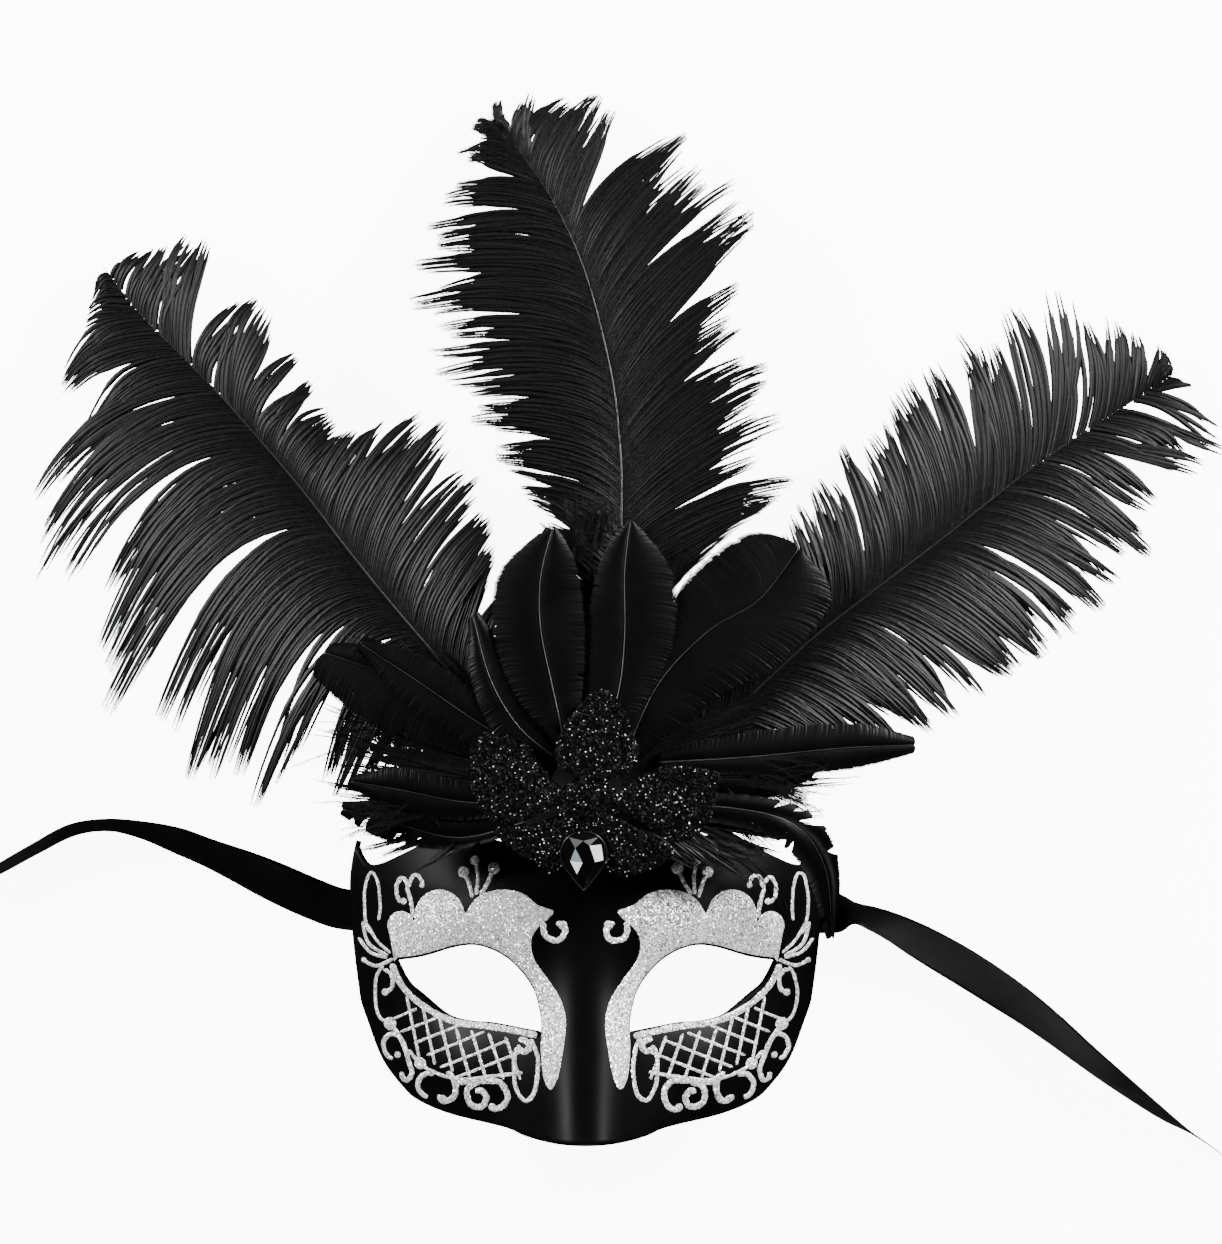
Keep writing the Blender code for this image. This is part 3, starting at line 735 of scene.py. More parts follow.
# Every line of the ornament on one half of the face: its width and its points.
CURLS: list[tuple[float, Path]] = [
    (2.1, scroll(10.4, 21.6, 5, 5, 35, -310, 0.4)),                     # the curl beside the nose
    (1.5, [(40.5, 33), (42, 38), (44, 42)]),                            # the sprig over the brow
    (1.4, [(39.5, 34), (38.8, 40), (39.8, 46)]),
    (1.5, [(38, 34), (35.5, 38), (33, 43.5)]),
    (1.6, [(62.3, 25), (63.2, 31), (64.7, 36)]),                        # the forked stem over the outer brow
    (1.4, scroll(61.4, 36.8, 2.4, 3.8, -10, 200)),
    (1.5, scroll(66.5, 35, 2.3, 4.5, 170, -250)),
    (1.1, scroll(77.8, 30, 3, 11, 215, -300) + [(79.5, 22), (76, 16), (71, 12)]),    # the temple's long loop
    (1.3, [(81.5, 23), (79, 15), (72, 11)]),
    (1.3, [(82.8, 17), (78.5, 12), (72, 10.5)]),
    (1.3, [(81, 9), (76, 7.2), (70, 9.8)]),
    (1.2, scroll(72.8, -3, 4, 10, 80, -170)),                           # the loops under the eye's corner
    (1.5, scroll(73, 1.6, 2.8, 4.2, 80, 200)),
    (1.8, [(71.4, -13.5), (66.5, -20.5)] + scroll(65.4, -31, 2.6, 4, 130, 230, 0.6)),
    (1.6, scroll(70, -22, 3.7, 4.4, 125, -215)),
    (1.5, scroll(21.4, -28, 4.4, 11.4, 110, 290)),                      # the long loop beside the nose
    (2.1, scroll(22.6, -20.4, 3, 2.6, 60, 330, 0.4)),
    (1.9, scroll(57.2, -36, 4.2, 5.2, 125, -215, 0.7)),                 # the curls along the lower edge
    (2.2, scroll(51.2, -36.6, 4.9, 6.4, 105, 215, 0.55)),
    (2.2, scroll(38.6, -38.8, 5, 5.4, 100, -400, 0.35)),
    (2.1, [(46.5, -34), (39.5, -33)] + scroll(32.8, -38.6, 5.2, 5.8, 100, 190, 0.75)),
]
LATTICE_LINES = 7
UNDER_EYE: Path = [(70.5, 8), (66, -0.5), (57.5, -7.5), (46.5, -12.3), (32.5, -13.9), (17.3, -16.3)]
LATTICE_FOOT: Path = [(64, -23), (58, -29), (46.5, -32.8), (34, -31.5), (22.5, -29.5)]
CURLS += [(2.3, UNDER_EYE), (1.3, LATTICE_FOOT)]
CURLS += [(1.1, [(65 - 6 * k, -3.5 - 8.6 * min(k / 3, 1) - 0.8 * k),
                 (60.5 - 6.2 * k, -25.5 - 6.5 * min(k / 3, 1))]) for k in range(LATTICE_LINES)]
CURLS += [(1.0, [(71.5 - 4.7 * k, -12.5 - 4 * k), (61 - 8.2 * k, -7.8 - 2.6 * k)])
          for k in range(LATTICE_LINES - 1)]
# The round blobs: sprig heads and the ends of curls, as x, y and radius.
BLOBS: list[Point] = [
    (44, 42, 2), (40, 46.3, 1.7), (33, 43.6, 2.2), (81, 9, 1), (73, -2.4, 1.3), (71.2, -13.8, 2.4),
    (60, -27.6, 2.2), (33.6, -42.4, 1.4), (59.2, 37, 1), (66, 31, 1.2), (8.2, 23.4, 1.6),
    (68.4, -25, 1.2), (51.6, -40, 1.3)]
HAND_WOBBLE = 0.22          # how far a hand-laid line strays


def inside(points: np.ndarray, loop: np.ndarray) -> np.ndarray:
    """Say which points lie inside a closed loop.

    Args:
        points: Rows of x, y.
        loop: The loop's rows of x, y.

    Returns:
        One boolean for each point.
    """
    result = np.zeros(len(points), dtype=bool)
    x, y = points[:, 0], points[:, 1]
    for (x1, y1), (x2, y2) in zip(loop, np.roll(loop, -1, axis=0)):
        crosses = (y1 > y) != (y2 > y)
        if crosses.any():
            result[crosses] ^= x[crosses] < (x2 - x1) * (y[crosses] - y1) / (y2 - y1) + x1
    return result


def within(points: np.ndarray, loops: list[np.ndarray]) -> np.ndarray:
    """Say which points lie inside the first loop and outside the others."""
    keep = inside(points, loops[0])
    for hole in loops[1:]:
        keep &= ~inside(points, hole)
    return keep


@dataclass
class Plan:
    """A flat region triangulated inside loops: its first vertices are the loops' own points."""

    vertices: np.ndarray
    triangles: np.ndarray
    loops: list[np.ndarray]

    @classmethod
    def fill(cls, outline: Path, holes: list[Path], spacing: float) -> Plan:
        """Triangulate a region evenly.

        Args:
            outline: The region's edge.
            holes: The edges of its holes.
            spacing: The distance between inner vertices.

        Returns:
            The filled plan, with loops as rows of vertex indices.
        """
        edges = []
        rows = []
        loops = []
        for loop in [outline, *holes]:
            start = sum(len(row) for row in rows)
            index = np.arange(start, start + len(loop))
            loops.append(index)
            edges += list(zip(index.tolist(), np.roll(index, -1).tolist()))
            rows.append(np.asarray(loop, dtype=float)[:, :2])
        border = np.concatenate(rows)
        low, high = rows[0].min(axis=0), rows[0].max(axis=0)
        step_y = spacing * math.sqrt(3) / 2
        inner = []
        for j, y in enumerate(np.arange(low[1], high[1], step_y)):
            xs = np.arange(low[0] + (j % 2) * spacing / 2, high[0], spacing)
            inner.append(np.stack([xs, np.full_like(xs, y)], axis=1))
        candidates = np.concatenate(inner)
        candidates = candidates[within(candidates, rows)]
        nearest = np.array([np.hypot(*(border - point).T).min() for point in candidates])
        candidates = candidates[nearest > spacing * 0.6]
        everything = np.concatenate([border, candidates]) if len(candidates) else border
        result = geometry.delaunay_2d_cdt([Vector(point) for point in everything], edges, [], 0, WELD)
        vertices = np.array([tuple(point) for point in result[0]])
        triangles = np.array(result[2])
        keep = within(vertices[triangles].mean(axis=1), rows)
        return cls(vertices, triangles[keep], loops)

    def outward(self, loop: np.ndarray) -> np.ndarray:
        """Return the directions that point out of the region at a loop's vertices, as rows of x, y, z."""
        points = self.vertices[loop]
        ahead = np.roll(points, -1, axis=0) - np.roll(points, 1, axis=0)
        sideways = unit(np.stack([ahead[:, 1], -ahead[:, 0]], axis=1))
        probe = within(points + sideways * 0.05, [self.vertices[each] for each in self.loops])
        sign = -1.0 if probe.mean() > 0.5 else 1.0
        return np.concatenate([sideways * sign, np.zeros((len(points), 1))], axis=1)


@dataclass(frozen=True)
class ShellForm:
    """The shell's front surface, as a height over the table."""

    depth: float = 44.0
    half_width: float = 86.5

    def height(self, x: np.ndarray, y: np.ndarray) -> np.ndarray:
        """Return the height of the bowed face with its nose, brows, sockets and cheeks.

        Args:
            x: Distances across the face from its middle.
            y: Distances up the face from its middle.

        Returns:
            The heights, in millimetres.
        """
        side = np.abs(x)
        half_width = self.half_width - 3.5 * ((48.0 - y) / 50.0) ** 2
        radius = (88.0 ** 2 + self.depth ** 2) / (2 * self.depth)
        across = 88.0 * side / half_width
        bow = np.sqrt(np.maximum(radius ** 2 - across ** 2, 0.0)) - (radius - self.depth)
        down = np.clip((34.0 - y) / 84.0, 0.0, 1.1)
        nose = 21.0 * down ** 1.25 * np.exp(-(side / (12.5 + 8.0 * down)) ** 2.4)
        brow = 3.0 * np.exp(-((y - 25.0) / 11.0) ** 2) * np.exp(-((side - 36.0) / 26.0) ** 2)
        socket = -6.0 * np.exp(-((side - 40.0) / 22.0) ** 2 - ((y + 1.0) / 13.0) ** 2)
        cheek = 2.5 * np.exp(-((side - 46.0) / 19.0) ** 2 - ((y + 31.0) / 12.0) ** 2)
        forehead = -0.05 * np.maximum(y - 36.0, 0.0) ** 1.5
        return bow + nose + brow + socket + cheek + forehead

    def surface(self, plan: np.ndarray, lift: np.ndarray | float = 0.0) -> np.ndarray:
        """Return rows of x, y, z on the surface, raised along its normal by `lift`."""
        x, y = plan[:, 0], plan[:, 1]
        points = np.stack([x, y, self.height(x, y)], axis=1)
        return points + self.normal(plan) * np.reshape(np.broadcast_to(lift, len(plan)), (-1, 1))

    def normal(self, plan: np.ndarray) -> np.ndarray:
        """Return the surface's normals at rows of x, y."""
        x, y = plan[:, 0], plan[:, 1]
        step = 0.2
        slope_x = (self.height(x + step, y) - self.height(x - step, y)) / (2 * step)
        slope_y = (self.height(x, y + step) - self.height(x, y - step)) / (2 * step)
        return unit(np.stack([-slope_x, -slope_y, np.ones_like(x)], axis=1))


FORM = ShellForm()
RIM_HEIGHT = 0.4            # the surface's height where the shell ends over the table


@dataclass
class MaskShell(Maker):
    """The moulded half-mask with its eye holes and rounded edges."""

    thickness: float = 1.9
    spacing: float = 1.5
    rim_round: float = 0.7

    def outline(self) -> Path:
        """Return the shell's outline, held where its surface meets the table."""
        half = smooth_path(SHELL_OUTLINE, CURVE_STEPS, corners=SHELL_CORNERS)
        kept = []
        for x, y in half:
            low, high = 0.0, x
            if FORM.height(np.array([x]), np.array([y]))[0] < RIM_HEIGHT:
                for _ in range(30):
                    middle = (low + high) / 2
                    above = FORM.height(np.array([middle]), np.array([y]))[0] > RIM_HEIGHT
                    low, high = (middle, high) if above else (low, middle)
            kept.append((high, y))
        return kept + [(-x, y) for x, y in reversed(kept[1:-1])]

    def eye(self, side: Side) -> Path:
        """Return one eye hole's edge."""
        edge = smooth_path(EYE_OUTLINE, 5, closed=True, corners=EYE_CORNERS)
        return [(side.value * x, y) for x, y in edge]

    def build(self) -> None:
        """Build the shell's front, back and rounded rims as one closed skin."""
        plan = Plan.fill(self.outline(), [self.eye(Side.LEFT), self.eye(Side.RIGHT)], self.spacing)
        front = FORM.surface(plan.vertices)
        normals = FORM.normal(plan.vertices)
        back = front - normals * self.thickness
        store = MeshStore()
        count = len(front)
        rims = [front, back]
        quads = []
        for loop in plan.loops:
            outward = plan.outward(loop)
            middle = (front[loop] + back[loop]) / 2
            chain = [loop]
            for angle in np.radians([36.0, 72.0, 108.0, 144.0]):
                ring = (middle + normals[loop] * self.thickness / 2 * math.cos(angle)
                        + outward * self.rim_round * math.sin(angle))
                start = sum(len(row) for row in rims)
                rims.append(ring)
                chain.append(np.arange(start, start + len(loop)))
            chain.append(loop + count)
            for first, second in zip(chain, chain[1:]):
                quads.append(np.stack([first, np.roll(first, -1), np.roll(second, -1), second], axis=1))
        vertices = np.concatenate(rims)
        vertices[:, 2] = np.maximum(vertices[:, 2], SHELL_CLEARANCE)
        triangles = np.concatenate([plan.triangles, plan.triangles[:, ::-1] + count])
        store.add(vertices, np.concatenate(quads), triangles)
        self.bench.piece("moulded_shell", store, self.finishes.shell, "shell_plastic", ("mask_shell",))


@dataclass
class GlitterOrnament(Maker):
    """The silver glitter laid on the shell: brow bands, scrolls, sprigs and a lattice under each eye."""

    relief: float = 0.32
    seed: int = 11

    def band(self, store: MeshStore, side: Side) -> None:
        """Lay one brow band, from the eye's outer corner over the brow and down beside the nose."""
        lifted = [(x, y + 0.35) for x, y in smooth_path(EYE_OUTLINE[:EYE_UPPER_EDGE], 5)[1:-1]]
        loop = smooth_path(BROW_BAND, 4) + lifted[::-1]
        plan = Plan.fill([(side.value * x, y) for x, y in loop], [], 1.1)
        lift = np.full(len(plan.vertices), self.relief)
        lift[plan.loops[0]] = 0.04
        lift += np.random.default_rng(self.seed).uniform(-0.05, 0.05, len(lift)) * (lift > 0.1)
        store.add(FORM.surface(plan.vertices, lift), None, plan.triangles)

    def stroke(self, store: MeshStore, side: Side, width: float, points: Path,
               rng: np.random.Generator) -> None:
        """Lay one glitter line with a domed section and ragged edges."""
        stray = rng.uniform(-HAND_WOBBLE, HAND_WOBBLE, (len(points), 2))
        path = smooth_path([(side.value * (x + dx), y + dy, 0.0)
                            for (x, y), (dx, dy) in zip(points, stray)], 6)
        length = path_length(np.asarray(path))
        centre = spaced(path, max(int(length / 0.55), 6))
        ahead = unit(np.gradient(centre, axis=0))
        across = np.stack([-ahead[:, 1], ahead[:, 0]], axis=1)
        along = np.linspace(0.0, length, len(centre))
        cap = np.minimum(np.minimum(along, length - along) / (width / 2), 1.0)
        half = width / 2 * np.sqrt(1.0 - (1.0 - cap) ** 2 * 0.92) * rng.uniform(0.88, 1.12, len(centre))
        profile = ((-1.0, 0.02), (-0.72, 0.8), (0.0, 1.0), (0.72, 0.8), (1.0, 0.02))
        grid = np.stack([FORM.surface(centre[:, :2] + across * (half * place)[:, None], self.relief * rise)
                         for place, rise in profile], axis=1)
        store.add_grid(grid[:, ::-1])

    def dot(self, store: MeshStore, side: Side, x: float, y: float, radius: float) -> None:
        """Lay a round blob at a scroll's end."""
        turn = circle(14)
        rings = [FORM.surface(np.stack([side.value * x + radius * share * np.cos(turn),
                                             y + radius * share * np.sin(turn)], axis=1), self.relief * rise)
                 for share, rise in ((1.0, 0.02), (0.75, 0.95), (0.3, 1.25), (0.01, 1.3))]
        grid = np.stack(rings, axis=0)
        store.add_grid(np.concatenate([grid, grid[:, :1]], axis=1))

    def build(self) -> None:
        """Lay both sides' ornament."""
        for side in Side:
            rng = np.random.default_rng(self.seed + side.value)
            store = MeshStore()
            self.band(store, side)
            for width, points in CURLS:
                self.stroke(store, side, width, points, rng)
            for x, y, radius in BLOBS:
                self.dot(store, side, x, y, radius)
            self.bench.piece(f"glitter_ornament_{side.name.lower()}", store, self.finishes.silver,
                             "silver_glitter")


# ---------------------------------------------------------------------------------------------------
# The ribbon ties
# ---------------------------------------------------------------------------------------------------

# A ribbon's route over the table: x, y and how many degrees it is turned on edge.
LEFT_RIBBON: Path = [
    (-72.0, 26.6, 0), (-80.0, 26.7, 0), (-90.0, 27.6, 0), (-100.0, 31.2, 0), (-112.0, 36.6, 10),
    (-124.0, 42.2, 28), (-136.5, 47.6, 43), (-148.5, 52.4, 48), (-161.0, 56.2, 62), (-174.0, 58.2, 71),
    (-187.0, 56.4, 72), (-200.0, 49.8, 74), (-213.5, 42.2, 76), (-226.0, 34.8, 82), (-236.0, 26.0, 90),
    (-243.0, 15.0, 90), (-246.0, 3.0, 90)]
RIGHT_RIBBON: Path = [
    (72.0, 25.8, 0), (80.0, 25.8, 0), (89.5, 26.0, 0), (97.0, 26.2, 58), (104.0, 24.2, 56), (112.0, 20.8, 47),
    (120.0, 16.5, 36), (128.5, 11.7, 28), (138.5, 5.8, 25), (149.0, -0.9, 28), (159.5, -8.0, 36),
    (170.0, -15.9, 45), (181.0, -24.9, 54), (192.4, -33.9, 62), (208.8, -46.2, 75), (220.0, -53.6, 88),
    (231.0, -61.5, 90), (240.0, -71.0, 90), (246.5, -82.5, 90)]


@dataclass
class RibbonTie(Maker):
    """One satin tie: out from under the shell's rim, along the table on edge, then a loose coil."""

    side: Side
    route: Path
    width: float = 15.0
    thickness: float = 0.35
    length: float = 620.0
    coil_radius: float = 39.0
    coil_pitch: float = 7.0
    coil_lead: float = 12.3
    slant: float = 9.0
    step: float = 1.6
    columns: int = 9

    def centreline(self) -> np.ndarray:
        """Return the ribbon's middle line as rows of x, y, turn in degrees, cut to its length."""
        path = smooth_path(self.route, 6)
        end, last = np.array(self.route[-1][:2]), np.array(self.route[-2][:2])
        ahead = (end - last) / np.linalg.norm(end - last)
        outward = np.array([-ahead[1], ahead[0]]) * self.side.value
        centre = end + outward * self.coil_radius + ahead * self.coil_lead
        steps_per_turn = 48
        for i in range(1, 4):
            path.append((*(end + ahead * self.coil_lead * i / 4), 90.0))
        for i in range(steps_per_turn * 3):
            angle = 2 * math.pi * i / steps_per_turn
            radius = self.coil_radius - self.coil_pitch * i / steps_per_turn
            spoke = -outward * math.cos(angle) + ahead * math.sin(angle)
            path.append((*(centre + spoke * radius), 90.0))
        rows = np.asarray(path)
        wanted = np.arange(0.0, self.length + self.step / 2, self.step)
        return sampled(wanted, travelled(rows[:, :2]), rows)

    def build(self) -> None:
        line = self.centreline()
        ahead = unit(np.gradient(line[:, :2], axis=0))
        side = np.stack([-ahead[:, 1], ahead[:, 0]], axis=1)
        turn = np.radians(line[:, 2])
        half = self.width / 2
        lift = half * np.sin(turn) + 0.4
        across = np.concatenate([side * np.cos(turn)[:, None], -np.sin(turn)[:, None]], axis=1)
        facing = unit(np.cross(np.concatenate([ahead, np.zeros((len(line), 1))], axis=1), across))
        middle = np.concatenate([line[:, :2], lift[:, None]], axis=1)
        along = np.linspace(0.0, self.length, len(line))
        places = np.linspace(-1.0, 1.0, self.columns)
        ring = [(place, 1.0) for place in places] + [(place, -1.0) for place in places[::-1]]
        store = MeshStore()
        columns = []
        weave = []
        for place, face in ring:
            cut = self.length - self.slant * (place + 1) / 2
            taken = np.minimum(along, cut)
            spot = sampled(taken, along, middle)
            edge_roll = 0.22 * abs(place) ** 6
            thin = self.thickness / 2 * (0.35 if abs(place) == 1.0 else 1.0) + edge_roll * 0.3
            columns.append(spot + across * (place * half) + facing * (face * thin))
            weave.append(np.stack([taken, np.full(len(along), (place + 1) / 2)], axis=1))
        columns.append(columns[0])
        grid = np.stack(columns, axis=1)[:, :-1]
        rows, around = grid.shape[:2]
        grid[..., 2] = np.maximum(grid[..., 2], RIBBON_CLEARANCE)
        index = np.arange(rows * around).reshape(rows, around)
        after = np.roll(index, -1, axis=1)
        quads = np.stack([index[:-1], index[1:], after[1:], after[:-1]], axis=-1).reshape(-1, 4)
        tops, unders = index[:, :self.columns], index[:, self.columns:][:, ::-1]
        for row, flip in ((0, 1), (-1, -1)):
            caps = np.stack([tops[row, :-1], unders[row, :-1], unders[row, 1:], tops[row, 1:]], axis=1)
            quads = np.concatenate([quads, caps[:, ::flip]])
        store.add(grid.reshape(-1, 3), quads)
        name = self.side.name.lower()
        ribbon = self.bench.piece(f"satin_ribbon_{name}", store, self.finishes.satin, "satin_ribbon",
                                  (f"ribbon_{name}", f"ribbon_coil_{name}"))
        weave_map = ribbon.data.uv_layers.new(name="weave")
        table = np.stack(weave, axis=1).reshape(-1, 2)
        corners = np.zeros(len(ribbon.data.loops), dtype=np.int32)
        ribbon.data.loops.foreach_get("vertex_index", corners)
        weave_map.data.foreach_set("uv", table[corners].ravel().astype(np.float32))
        path = self.bench.world(middle)


LAMP_TARGET = (0.0, -0.05, 0.03)
ROOM_LIGHT = 0.06


@dataclass
class Studio:
    """The pale floor, the soft lights and the camera that looks straight down."""

    bench: Bench
    camera_height: float = 2.6
    view_height: float = 0.4541
    view_middle: tuple[float, float] = (-0.0027, -0.0012)
    floor_glow: float = 9.5

    def show(self, name: str, data: bpy.types.ID, place: Point = (0.0, 0.0, 0.0)) -> bpy.types.Object:
        """Put an object in the scene and return it."""
        thing = bpy.data.objects.new(name, data)
        thing.location = place
        bpy.context.scene.collection.objects.link(thing)
        return thing

    def lamp(self, name: str, place: Point, power: float, size: float) -> None:
        """Add one square area light that shines at the mask."""
        data = bpy.data.lights.new(name, "AREA")
        data.energy = power
        data.size = size
        ray = Vector(LAMP_TARGET) - Vector(place)
        self.show(name, data, place).rotation_euler = ray.to_track_quat("-Z", "Y").to_euler()

    def build(self) -> None:
        """Set up the camera, the world, the lights and the floor."""
        data = bpy.data.cameras.new("camera")
        data.lens = data.sensor_width * self.camera_height / self.view_height
        data.clip_end = 20.0
        bpy.context.scene.camera = self.show("camera", data, (*self.view_middle, self.camera_height))
        world = bpy.data.worlds.new("pale_room")
        world.use_nodes = True
        colour, strength = world.node_tree.nodes["Background"].inputs[:2]
        colour.default_value = (1.0, 1.0, 1.0, 1.0)
        strength.default_value = ROOM_LIGHT
        bpy.context.scene.world = world
        self.lamp("key", (1.5, 1.0, 0.8), 135.0, 0.7)
        self.lamp("fill", (-1.6, 0.8, 0.8), 100.0, 0.7)
        self.lamp("front", (0.2, -1.8, 0.6), 22.0, 0.6)
        mesh = bpy.data.meshes.new("floor")
        bm = bmesh.new()
        bmesh.ops.create_grid(bm, x_segments=1, y_segments=1, size=4.0)
        bm.to_mesh(mesh)
        bm.free()
        floor = self.show("floor", mesh)
        finish = Finish("pale_floor", (0.93, 0.93, 0.93), 0.7, Emission_Color=(1.0, 1.0, 1.0, 1.0),
                        Emission_Strength=self.floor_glow)
        mesh.materials.append(finish.material)
        floor.visible_diffuse = False
        floor.visible_glossy = False


# ---------------------------------------------------------------------------------------------------
# Feathers
# ---------------------------------------------------------------------------------------------------

FAN_HEIGHT = 49.5           # underside of the lowest feather behind the flower
FAN_REACH = 272.0           # distance from the flower at which the fan meets the table
FAN_CENTRE = np.array([0.0, 72.0])
OSTRICH_PITCH = 2.9         # thickness taken by one layer of ostrich plumes
GOOSE_PITCH = 1.8           # thickness taken by one layer of goose feathers
VANE_THICKNESS = 0.5
QUILL_LIFT = 0.6            # how far a quill's middle line lies over its vane


def fan_height(plan: np.ndarray) -> np.ndarray:
    """Return the height of the feather fan's underside over points given as x, y on their last axis."""
    reach = np.linalg.norm(plan[..., :2] - FAN_CENTRE, axis=-1) / FAN_REACH
    return FAN_HEIGHT * (1.0 - np.minimum(reach, 1.0) ** 1.6)


def layer_height(layer: int) -> float:
    """Return how far a feather's layer lies over the fan's underside."""
    return min(layer, 2) * OSTRICH_PITCH + max(layer - 2, 0) * GOOSE_PITCH


def bezier(starts: np.ndarray, leads: np.ndarray, bends: np.ndarray, ends: np.ndarray,
           rows: int) -> np.ndarray:
    """Return cubic curves, shaped curves by rows by values."""
    t = np.linspace(0.0, 1.0, rows)[None, :, None]
    return ((1 - t) ** 3 * starts[:, None] + 3 * (1 - t) ** 2 * t * leads[:, None]
            + 3 * (1 - t) * t ** 2 * bends[:, None] + t ** 3 * ends[:, None])


def turned(directions: np.ndarray, degrees: float | np.ndarray) -> np.ndarray:
    """Return flat directions turned anticlockwise."""
    angle = np.radians(degrees)
    x, y = directions[:, 0], directions[:, 1]
    return np.stack([x * np.cos(angle) - y * np.sin(angle), x * np.sin(angle) + y * np.cos(angle)], axis=1)


@dataclass(frozen=True)
class FeatherPlan:
    """A feather's place: its quill from butt to tip, its vane's two edges and its layer in the fan."""

    name: str
    layer: int
    quill: Path
    left: Path
    right: Path
    droop: float = 0.0
    droop_start: float = 0.4

    def rise(self, share: np.ndarray) -> np.ndarray:
        """Return the height over the fan's underside at shares of the feather's length."""
        fall = self.droop * (np.maximum(share - self.droop_start, 0.0) / (1.0 - self.droop_start)) ** 2
        return layer_height(self.layer) - fall


@dataclass(frozen=True)
class BarbLook:
    """How loose barbs grow from a quill, gather into fronds and carry down."""

    fronds: int = 46            # tufts along one side
    strands: int = 8            # barbs gathered into one tuft
    lean: float = 40.0          # degrees between a barb's root and the quill
    sweep: float = 0.10         # how far along the edge a barb's tip runs ahead of its root
    hang: tuple[float, float] = (0.0, 0.0)
    ragged: float = 0.16
    longer: float = 1.0         # how far past the plan's edge the barbs reach
    stray: float = 0.012        # how far a tuft's tip strays along the edge
    pull: float = 0.82
    part: float = 0.5           # where along the barbs the tufts begin to part
    wave: float = 0.6
    cap: float = 0.42           # the widest half-width of one barb
    open_tip: float = 1.0       # share of the barbs left towards the feather's tip
    wisps: float = 0.3          # how far single tufts reach beyond the feather's tip
    down: float = 2.6           # length of a barbule
    down_spacing: float = 1.0
    rows: int = 14
    first: float = 0.02
    last: float = 0.985


